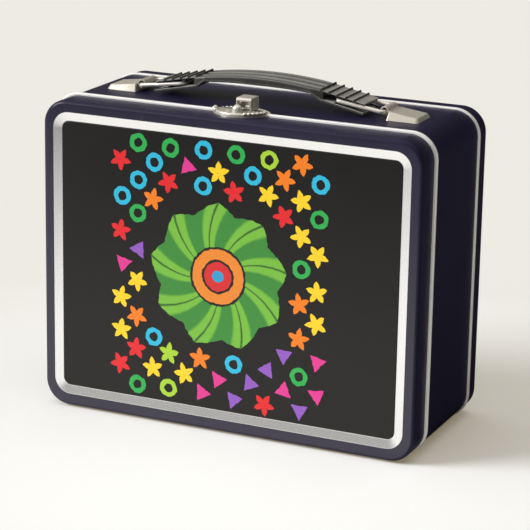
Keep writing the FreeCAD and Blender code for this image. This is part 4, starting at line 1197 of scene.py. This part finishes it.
class Finish:
    """One procedural material while its nodes are put together"""

    def __init__(self, name, **constants):
        self.material = bpy.data.materials.new(name)
        self.material.use_nodes = True
        self.tree = self.material.node_tree
        self.shader = self.tree.nodes["Principled BSDF"]
        for label, content in constants.items():
            self.shader.inputs[label.replace("_", " ")].default_value = content
        places = self.tree.nodes.new("ShaderNodeTexCoord").outputs
        self.coords = places["Object"]
        self.facing = places["Normal"]

    def group(self, tree, inputs):
        return place_node(self.tree, "ShaderNodeGroup", inputs, node_tree=tree)

    def grain(self, size):
        return self.group(grain_group(), {"Vector": self.coords, "Size": size})

    def handling(self, smudge, scuff):
        return self.group(handling_group(), {"Vector": self.coords, "Smudge Size": smudge,
                                             "Scuff Size": scuff})

    def feed(self, label, source):
        self.tree.links.new(source, self.shader.inputs[label])

    def bump(self, grain, strength):
        node = place_node(self.tree, "ShaderNodeBump", {"Height": grain.outputs["Height"],
                                                        "Strength": strength, "Distance": BUMP_DEPTH})
        self.feed("Normal", node.outputs[0])

    def blend(self, mask, most, first, second):
        """Mixes two colours by a mask, up to some share of the second."""
        return colour_mix(self.tree, ramp(self.tree, mask, 0, 1, 0.0, most), first, second)

    def roughness(self, marks, clean_value, smudged_value):
        self.feed("Roughness", ramp(self.tree, marks.outputs["Smudge"], 0, 1, clean_value, smudged_value))


def tinted(shade, factor):
    """A shade made darker or lighter."""
    return (min(shade[0] * factor, 1.0), min(shade[1] * factor, 1.0), min(shade[2] * factor, 1.0), 1.0)


def enamel_finish(shade):
    """Baked enamel: dark, glossy on the pressed faces, duller round the wall and greyer where rubbed."""
    paint = Finish("enamel_navy", Specular_IOR_Level=0.15, Coat_Roughness=0.24, Coat_IOR=1.55)
    pressed = value_math(paint.tree, "ABSOLUTE", axes(paint.tree, paint.facing)[1])
    paint.feed("Coat Weight", ramp(paint.tree, pressed, 0.90, 0.995, 0.05, 1.0))
    marks = paint.handling(smudge=22.0, scuff=240.0)
    rubbed = paint.blend(marks.outputs["Smudge"], 0.5, shade, tinted(shade, 1.4))
    paint.feed("Base Color", paint.blend(marks.outputs["Scuff"], 0.08, rubbed, SCUFF_COLOUR))
    paint.roughness(marks, 0.34, 0.40)
    paint.bump(paint.grain(900.0), 0.05)
    return paint.material


def metal_finish(shade, name, rough, grain_size, metallic, bump, wear):
    """Plated or bare metal with grain, darker smudges and bright speckle, as strong as its wear."""
    metal = Finish(name, Metallic=metallic)
    marks = metal.handling(smudge=60.0, scuff=420.0)
    grain = metal.grain(grain_size)
    clouded = colour_mix(metal.tree, marks.outputs["Smudge"], shade, tinted(shade, 1 - 0.2 * wear))
    metal.feed("Base Color", metal.blend(grain.outputs["Mask"], 0.25 * wear, clouded, tinted(shade, 1.15)))
    metal.roughness(marks, rough * (1 - 0.15 * wear), rough * (1 + 0.3 * wear))
    metal.bump(grain, bump)
    return metal.material


# Where the painted light on the grip's ribbed ends starts and where it is full
LIT_END_START = 33 * MM
LIT_END_FULL = 35 * MM


def painted_light_share(tree, coords):
    """Share of painted light on the grip's top: highlights on the flute ridges, full on both ends."""
    handle = settings().handle
    parts = axes(tree, coords)
    turn = value_math(tree, "MULTIPLY_ADD", parts[1], math.pi * handle.flute_count / GRIP_HIGH.y,
                      math.pi * (handle.flute_count - 1))
    ridge = ramp(tree, value_math(tree, "COSINE", turn), -0.5, 0.9, 0.62, 0.08)
    end = ramp(tree, value_math(tree, "ABSOLUTE", parts[0]), LIT_END_START, LIT_END_FULL)
    return value_math(tree, "MAXIMUM", ridge, end)


def plastic_finish(shade, name, rough):
    """Moulded plastic: fine texture, a little dust, and painted light and highlights on its upper faces."""
    plastic = Finish(name)
    marks = plastic.handling(smudge=45.0, scuff=300.0)
    upward = axes(plastic.tree, plastic.facing)[2]
    # Painted light: faces turned up, the flute ridges and the ribbed ends are coloured lighter
    painted_light_mask = value_math(plastic.tree, "MULTIPLY", ramp(plastic.tree, upward, 0.75, 0.98),
                     painted_light_share(plastic.tree, plastic.coords))
    painted_light = colour_mix(plastic.tree, painted_light_mask, shade, tinted(shade, 9.0))
    rubbed = plastic.blend(marks.outputs["Smudge"], 0.6, painted_light, tinted(shade, 2.0))
    plastic.feed("Base Color", plastic.blend(marks.outputs["Scuff"], 0.12, rubbed, DUST_COLOUR))
    plastic.roughness(marks, rough * 0.9, rough * 1.2)
    plastic.bump(plastic.grain(2600.0), 0.12)
    return plastic.material


def srgb(red, green, blue):
    """A colour given as screen values up to 255."""
    shares = []
    for part in (red, green, blue):
        share = part / 255
        shares.append(share / 12.92 if share <= 0.04045 else ((share + 0.055) / 1.055) ** 2.4)
    return (*shares, 1.0)


PRINT_COLOURS = [srgb(228, 40, 48), srgb(245, 130, 32), srgb(252, 214, 44), srgb(170, 214, 58),
                 srgb(48, 176, 84), srgb(48, 188, 226), srgb(146, 92, 196), srgb(226, 60, 150)]


def colour_steps(tree, source, shades):
    """Picks one of some shades by a value from 0 to 1."""
    node = place_node(tree, "ShaderNodeValToRGB", {0: source})
    node.color_ramp.interpolation = "CONSTANT"
    elements = node.color_ramp.elements
    for index, shade in enumerate(shades):
        spot = elements[index] if index < 2 else elements.new(0.99)
        spot.position = index / len(shades)
        spot.color = shade
    return node.outputs[0]


STAR_POINT = math.pi / 5
STAR_RADII = (0.33, 0.14)
RING_RADIUS = 0.20
RING_HALF = 0.065
WEDGE_RADIUS = 0.145
STAR_LIMIT = 0.42
RING_LIMIT = 0.74


def confetti_group():
    """Stars, rings and triangles, one in each cell of a grid, with a colour for each."""
    inputs = [("Across", "Float", 0.0), ("Up", "Float", 0.0), ("Shift", "Float", 0.0),
              ("Seed", "Float", 0.0), ("Rough Edge", "Float", 0.0), ("Half Width", "Float", 3.0),
              ("Half Height", "Float", 3.0), ("Clear", "Float", 1.0)]
    tree, start, end = shader_group("confetti_marks", inputs, [("Mask", "Float"), ("Colour", "Color")])
    if not start:
        return tree
    calc = partial(value_math, tree)
    given = start.outputs
    across = calc("ADD", given["Across"], given["Shift"])
    up = calc("ADD", given["Up"], given["Shift"])
    cell_x = calc("FLOOR", across)
    cell_y = calc("FLOOR", up)
    cell = place_node(tree, "ShaderNodeCombineXYZ", {0: cell_x, 1: cell_y, 2: given["Seed"]})
    chance = place_node(tree, "ShaderNodeTexWhiteNoise", {"Vector": cell.outputs[0]}, noise_dimensions="3D")
    draws = place_node(tree, "ShaderNodeSeparateColor", {0: chance.outputs["Color"]}).outputs
    local_x = calc("SUBTRACT", calc("FRACT", across), ramp(tree, draws[0], 0, 1, 0.45, 0.55))
    local_y = calc("SUBTRACT", calc("FRACT", up), ramp(tree, draws[1], 0, 1, 0.45, 0.55))
    radius = calc("ADD", middle_distance(tree, local_x, local_y), given["Rough Edge"])
    angle = calc("ADD", calc("ARCTAN2", local_y, local_x), calc("MULTIPLY", draws[2], math.tau))
    point = calc("PINGPONG", angle, STAR_POINT)
    star = calc("LESS_THAN", radius, ramp(tree, point, 0, STAR_POINT, *STAR_RADII))
    ring = calc("COMPARE", radius, RING_RADIUS, RING_HALF)
    side = calc("COSINE", calc("PINGPONG", angle, math.pi / 3))
    wedge = calc("LESS_THAN", calc("MULTIPLY", radius, side), WEDGE_RADIUS)
    first = calc("LESS_THAN", draws[0], STAR_LIMIT)
    second = calc("LESS_THAN", draws[0], RING_LIMIT)
    later = place_node(tree, "ShaderNodeMix", {0: second, 2: wedge, 3: ring}, data_type="FLOAT").outputs[0]
    mask = place_node(tree, "ShaderNodeMix", {0: first, 2: later, 3: star}, data_type="FLOAT").outputs[0]
    middle = calc("SUBTRACT", 0.5, given["Shift"])
    centre_x = calc("ADD", cell_x, middle)
    centre_y = calc("ADD", cell_y, middle)
    for amount, limit in ((calc("ABSOLUTE", centre_x), given["Half Width"]),
                          (calc("ABSOLUTE", centre_y), given["Half Height"]),
                          (given["Clear"], middle_distance(tree, centre_x, centre_y))):
        mask = calc("MULTIPLY", mask, calc("LESS_THAN", amount, limit))
    tree.links.new(mask, end.inputs["Mask"])
    tree.links.new(colour_steps(tree, chance.outputs["Value"], PRINT_COLOURS), end.inputs["Colour"])
    return tree


PRINT_CELL = 17.5 * MM
PRINT_MIDDLE = (PANEL_LOW.z + PANEL_HIGH.z) / 2
PRINT_SHIFT = 4.0 * MM
PRINT_HALF = (53.0 * MM, 62.0 * MM)
WHEEL_RADIUS = 37.0 * MM
WHEEL_ROOM = 7.0 * MM
WHEEL_TWIST = 14.0
WHEEL_WOBBLE = 20 * MM
WHEEL_BLADE = math.pi / 9
WHEEL_NOTCH = 0.86
# Radius in mm and colour of each ring of the wheel's hub
WHEEL_RINGS = ((15.0, srgb(26, 30, 26)), (13.8, srgb(236, 140, 52)), (8.6, srgb(26, 30, 26)),
               (7.4, srgb(214, 46, 50)), (3.0, srgb(48, 160, 214)))


def print_finish(shade):
    """A black printed sheet with bright marks round a green wheel."""
    ink = Finish("panel_print", Specular_IOR_Level=0.4)
    tree = ink.tree
    calc = partial(value_math, tree)
    parts = axes(tree, ink.coords)
    x = calc("ADD", parts[0], PRINT_SHIFT)
    z = calc("SUBTRACT", parts[2], PRINT_MIDDLE)
    crayon = place_node(tree, "ShaderNodeTexNoise", {"Vector": ink.coords, "Scale": 420.0, "Detail": 4.0})
    rough = ramp(tree, crayon.outputs[0], 0.3, 0.7, -0.018, 0.018)
    field = {"Across": calc("DIVIDE", x, PRINT_CELL), "Up": calc("DIVIDE", z, PRINT_CELL),
             "Rough Edge": rough, "Half Width": PRINT_HALF[0] / PRINT_CELL,
             "Half Height": PRINT_HALF[1] / PRINT_CELL, "Clear": (WHEEL_RADIUS + WHEEL_ROOM) / PRINT_CELL}
    ground = shade
    for shift, seed in ((0.0, 3.0), (0.5, 8.0)):
        marks = ink.group(confetti_group(), {**field, "Shift": shift, "Seed": seed})
        ground = colour_mix(tree, marks.outputs["Mask"], ground, marks.outputs["Colour"])
    radius = calc("ADD", middle_distance(tree, x, z), calc("MULTIPLY", rough, WHEEL_WOBBLE))
    angle = calc("ADD", calc("ARCTAN2", z, x), calc("MULTIPLY", radius, WHEEL_TWIST))
    blade = calc("PINGPONG", angle, WHEEL_BLADE)
    edge = ramp(tree, blade, 0, WHEEL_BLADE, WHEEL_RADIUS, WHEEL_RADIUS * WHEEL_NOTCH)
    tone = ramp(tree, blade, math.pi / 22, math.pi / 16)
    green = colour_mix(tree, tone, srgb(120, 190, 66), srgb(62, 140, 60))
    shine = colour_mix(tree, ramp(tree, blade, 0.03, 0.0), green, srgb(30, 70, 40))
    ground = colour_mix(tree, calc("LESS_THAN", radius, edge), ground, shine)
    for limit, tint in WHEEL_RINGS:
        ground = colour_mix(tree, calc("LESS_THAN", radius, limit * MM), ground, tint)
    worn = place_node(tree, "ShaderNodeTexNoise", {"Vector": ink.coords, "Scale": 900.0, "Detail": 5.0})
    ground = colour_mix(tree, ramp(tree, worn.outputs[0], 0.62, 0.72, 0.0, 0.35), ground, shade)
    ink.feed("Base Color", ground)
    ink.roughness(ink.handling(smudge=18.0, scuff=320.0), 0.30, 0.38)
    ink.bump(ink.grain(1800.0), 0.06)
    return ink.material


MADE = {}
# Name, roughness, grain size, metallic share, bump and wear of each metal
METALS = {
    "silver": ("frame_silver", 0.22, 1600.0, 0.9, 0.02, 0.12),
    "trim": ("edge_silver", 0.42, 1600.0, 0.2, 0.03, 0.25),
    "tin": ("tinplate", 0.36, 500.0, 0.9, 0.08, 1.0),
    "nickel": ("warm_nickel", 0.36, 1400.0, 0.3, 0.10, 1.4),
    "clasp": ("clasp_nickel", 0.25, 900.0, 0.5, 0.16, 1.6),
    "wire": ("wire_plate", 0.30, 2200.0, 0.35, 0.04, 0.5),
    "steel": ("bright_steel", 0.20, 2200.0, 1.0, 0.06, 1.0),
}
# Name and roughness of each plastic
PLASTICS = {"grip": ("grip_plastic", 0.28), "strip": ("strip_plastic", 0.34)}


def material(name):
    """The finish of that name, made once."""
    if name not in MADE:
        shade = tuple(getattr(settings().finish, name))
        if name in METALS:
            MADE[name] = metal_finish(shade, *METALS[name])
        elif name in PLASTICS:
            MADE[name] = plastic_finish(shade, *PLASTICS[name])
        elif name == "panel":
            MADE[name] = print_finish(shade)
        else:
            MADE[name] = enamel_finish(shade)
    return MADE[name]


# Stage
CAMERA_AIM = Vector((16.879, -34.314, 86.565)) * MM
CAMERA_DISTANCE = 1101.99 * MM
CAMERA_TURN = math.radians(24.314)
CAMERA_RISE = math.radians(16.115)
CAMERA_ROLL = math.radians(1.043)
CAMERA_LENS = 154.87
CAMERA_SENSOR = 36.0


def stage_camera():
    """The camera that sees the case as in the photo."""
    right = Vector((math.cos(CAMERA_TURN), math.sin(CAMERA_TURN), 0))
    back = Vector((math.sin(CAMERA_TURN) * math.cos(CAMERA_RISE),
                   -math.cos(CAMERA_TURN) * math.cos(CAMERA_RISE), math.sin(CAMERA_RISE)))
    up = back.cross(right)
    rolled_right = right * math.cos(CAMERA_ROLL) + up * math.sin(CAMERA_ROLL)
    rolled_up = up * math.cos(CAMERA_ROLL) - right * math.sin(CAMERA_ROLL)
    data = bpy.data.cameras.new("photo_camera")
    data.lens = CAMERA_LENS
    data.sensor_width = CAMERA_SENSOR
    camera = new_object("photo_camera", data)
    turn = Matrix((rolled_right, rolled_up, back)).transposed()
    camera.matrix_world = Matrix.Translation(CAMERA_AIM + back * CAMERA_DISTANCE) @ turn.to_4x4()
    bpy.context.scene.camera = camera


FLOOR_REACH = 9.0
# Centre and radii of the pool of light painted on the floor in front of the case
LIGHT_POOL_CENTRE = (0.02, -0.09, 0.0)
LIGHT_POOL_FULL = 0.02
LIGHT_POOL_EDGE = 0.34
BRIGHT_FRONT = 0.20
BRIGHT_END = 0.85
FIBRE_COLOUR = (0.7, 0.7, 0.7, 1.0)
ROOM_COLOUR = (1.0, 0.96, 0.89, 1.0)
ROOM_SIDE = (-0.8, -0.6, 0.0)
ROOM_DIM = -0.3
ROOM_BRIGHT = 0.9
ROOM_LEFT = 0.24
ROOM_RIGHT = 0.035
ROOM_ABOVE = 1.1
ROOM_EDGE = 0.45
BACKDROP = 0.86
MIRROR_SIDE = (-0.35, -0.94, 0.0)
MIRROR_START = -0.03
MIRROR_END = 0.03
MIRROR_BACK = (-0.62, 0.74, 0.27)
MIRROR_WIDE = 0.945
MIRROR_CLOSE = 0.972
MIRROR_GLOW = 0.09
KEY_SIDE = (-0.745, -0.465, 0.475)
KEY_STRENGTH = 3.15
KEY_SPREAD = math.radians(29)
KEY_COLOUR = (1.0, 0.99, 0.99)


def stage_finish():
    """Pale paper, white in a painted pool of light before the case, cream away, darker out of sight in front.
    """
    colours = settings().finish
    paper = Finish("studio_paper", Roughness=0.9, Specular_IOR_Level=0.0, Emission_Strength=1.0)
    tree = paper.tree
    # Painted pool of light: the paper is whiter near the case and fades to cream away from it
    away = vector_value(tree, "DISTANCE", paper.coords, LIGHT_POOL_CENTRE)
    shade = colour_mix(tree, ramp(tree, away, LIGHT_POOL_FULL, LIGHT_POOL_EDGE), tuple(colours.pooled_light_floor),
                       tuple(colours.cream_floor))
    fibre = paper.grain(300.0)
    shade = paper.blend(fibre.outputs["Mask"], 0.02, shade, FIBRE_COLOUR)
    path = tree.nodes.new("ShaderNodeLightPath").outputs
    far = ramp(tree, axes(tree, paper.coords)[1], -BRIGHT_FRONT, -BRIGHT_END)
    toward = vector_value(tree, "DOT_PRODUCT", paper.coords, MIRROR_SIDE)
    behind = value_math(tree, "MULTIPLY", path["Is Glossy Ray"],
                        ramp(tree, toward, MIRROR_END, MIRROR_START))
    lit = colour_mix(tree, value_math(tree, "MAXIMUM", far, behind), tuple(colours.lit_floor),
                     tuple(colours.dark_floor))
    paper.feed("Base Color", colour_mix(tree, path["Is Camera Ray"], lit, shade))
    paper.feed("Emission Color", colour_mix(tree, path["Is Camera Ray"], (0, 0, 0, 1), tuple(colours.haze)))
    return paper.material


def stage_floor():
    """A wide floor under the case."""
    corners = [(-FLOOR_REACH, -FLOOR_REACH, 0), (FLOOR_REACH, -FLOOR_REACH, 0),
               (FLOOR_REACH, FLOOR_REACH, 0), (-FLOOR_REACH, FLOOR_REACH, 0)]
    mesh = bpy.data.meshes.new("studio_floor")
    mesh.from_pydata(corners, [], [(0, 1, 2, 3)])
    mesh.materials.append(stage_finish())
    new_object("studio_floor", mesh)


def stage_room():
    """Light from the room: brighter at the left and front, dim at the right and back; pale to the camera."""
    world = bpy.data.worlds.new("studio_world")
    world.use_nodes = True
    tree = world.node_tree
    ground = tree.nodes["Background"]
    ground.inputs["Color"].default_value = ROOM_COLOUR
    direction = tree.nodes.new("ShaderNodeTexCoord").outputs["Generated"]
    side = vector_value(tree, "DOT_PRODUCT", direction, ROOM_SIDE)
    strength = ramp(tree, side, ROOM_DIM, ROOM_BRIGHT, ROOM_RIGHT, ROOM_LEFT)
    height = axes(tree, direction)[2]
    strength = value_math(tree, "ADD", strength, ramp(tree, height, ROOM_EDGE, 1, 0.0, ROOM_ABOVE))
    behind = vector_value(tree, "DOT_PRODUCT", direction, MIRROR_BACK)
    zone = ramp(tree, behind, MIRROR_WIDE, MIRROR_CLOSE, 0.0, MIRROR_GLOW)
    strength = value_math(tree, "ADD", strength, zone)
    seen = tree.nodes.new("ShaderNodeLightPath").outputs["Is Camera Ray"]
    shown = place_node(tree, "ShaderNodeMix", {0: seen, 2: strength, 3: BACKDROP}, data_type="FLOAT")
    tree.links.new(shown.outputs[0], ground.inputs["Strength"])
    bpy.context.scene.world = world


def build_stage():
    """Camera, floor, light from the room and the key light."""
    stage_camera()
    stage_floor()
    stage_room()
    data = bpy.data.lights.new("key_light", "SUN")
    data.energy = KEY_STRENGTH
    data.angle = KEY_SPREAD
    data.color = KEY_COLOUR
    lamp = new_object("key_light", data)
    lamp.rotation_euler = (-Vector(KEY_SIDE)).to_track_quat("-Z", "Y").to_euler()
    bpy.context.scene.view_settings.view_transform = "Standard"


class BuildStep:
    """What every build step of the lunch box shares"""
    bl_options = {"REGISTER", "UNDO"}
    steps = ()

    def execute(self, context):
        for step in self.steps:
            step()
        return {"FINISHED"}


class LUNCHBOX_OT_stage(BuildStep, bpy.types.Operator):
    """Floor, lamps and camera"""
    bl_idname = "lunchbox.stage"
    bl_label = "Stage"
    steps = (build_stage,)


class LUNCHBOX_OT_lid(BuildStep, bpy.types.Operator):
    """Pressed lid with its rolled bead"""
    bl_idname = "lunchbox.lid"
    bl_label = "Lid pan"
    steps = (build_lid_pan,)


class LUNCHBOX_OT_panel(BuildStep, bpy.types.Operator):
    """Printed sheet in the lid's frame"""
    bl_idname = "lunchbox.panel"
    bl_label = "Front panel"
    steps = (build_front_panel,)


class LUNCHBOX_OT_wall(BuildStep, bpy.types.Operator):
    """Side wall with its neck"""
    bl_idname = "lunchbox.wall"
    bl_label = "Side wall"
    steps = (build_side_band,)


class LUNCHBOX_OT_back(BuildStep, bpy.types.Operator):
    """Back pan with its seam"""
    bl_idname = "lunchbox.back"
    bl_label = "Back pan"
    steps = (build_back_pan,)


class LUNCHBOX_OT_lugs(BuildStep, bpy.types.Operator):
    """Pressed handle lugs with rolled eyes"""
    bl_idname = "lunchbox.lugs"
    bl_label = "Handle lugs"
    steps = (build_handle_lugs,)


class LUNCHBOX_OT_rings(BuildStep, bpy.types.Operator):
    """Wire rings between lugs and grip"""
    bl_idname = "lunchbox.rings"
    bl_label = "Wire rings"
    steps = (build_wire_rings,)


class LUNCHBOX_OT_grip(BuildStep, bpy.types.Operator):
    """Moulded grip, its cross ribs and its lower strip"""
    bl_idname = "lunchbox.grip"
    bl_label = "Grip"
    steps = (build_grip,)


class LUNCHBOX_OT_clasp(BuildStep, bpy.types.Operator):
    """Clasp plate, beads, keeper and hood"""
    bl_idname = "lunchbox.clasp"
    bl_label = "Clasp"
    steps = (build_latch_base, build_keeper, build_clasp_beads, build_latch_hood)


class LUNCHBOX_OT_hinges(BuildStep, bpy.types.Operator):
    """Hinge leaves, pins and backing strips"""
    bl_idname = "lunchbox.hinges"
    bl_label = "Hinges and pins"
    steps = (build_hinges,)


class LUNCHBOX_OT_rivets(BuildStep, bpy.types.Operator):
    """Rivets of the clasp and hinges"""
    bl_idname = "lunchbox.rivets"
    bl_label = "Rivets"
    steps = (build_rivets,)


OPERATORS = (LUNCHBOX_OT_stage, LUNCHBOX_OT_lid, LUNCHBOX_OT_panel, LUNCHBOX_OT_wall, LUNCHBOX_OT_back,
             LUNCHBOX_OT_lugs, LUNCHBOX_OT_rings, LUNCHBOX_OT_grip, LUNCHBOX_OT_clasp, LUNCHBOX_OT_hinges,
             LUNCHBOX_OT_rivets)


class LUNCHBOX_PT_panel(bpy.types.Panel):
    """Build steps and settings of the lunch box"""
    bl_idname = "LUNCHBOX_PT_panel"
    bl_label = "Lunch box"
    bl_space_type = "VIEW_3D"
    bl_region_type = "UI"
    bl_category = "Lunch box"

    def draw(self, context):
        for step in OPERATORS:
            self.layout.operator(step.bl_idname)
        for group in ("case", "handle", "clasp", "finish"):
            values = getattr(context.scene.lunch_box, group)
            column = self.layout.column(heading=group.capitalize())
            for name in values.__annotations__:
                column.prop(values, name)


GROUPS = (CaseSizes, HandleSizes, ClaspSizes, FinishColours, LunchBoxSettings)


def register():
    for kind in GROUPS + OPERATORS + (LUNCHBOX_PT_panel,):
        bpy.utils.register_class(kind)
    bpy.types.Scene.lunch_box = bpy.props.PointerProperty(type=LunchBoxSettings)


def unregister():
    del bpy.types.Scene.lunch_box
    for kind in reversed(GROUPS + OPERATORS + (LUNCHBOX_PT_panel,)):
        bpy.utils.unregister_class(kind)


def main():
    """Registers the add-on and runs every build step."""
    register()
    for step in OPERATORS:
        group, name = step.bl_idname.split(".")
        getattr(getattr(bpy.ops, group), name)()


if __name__ == "__main__":
    main()
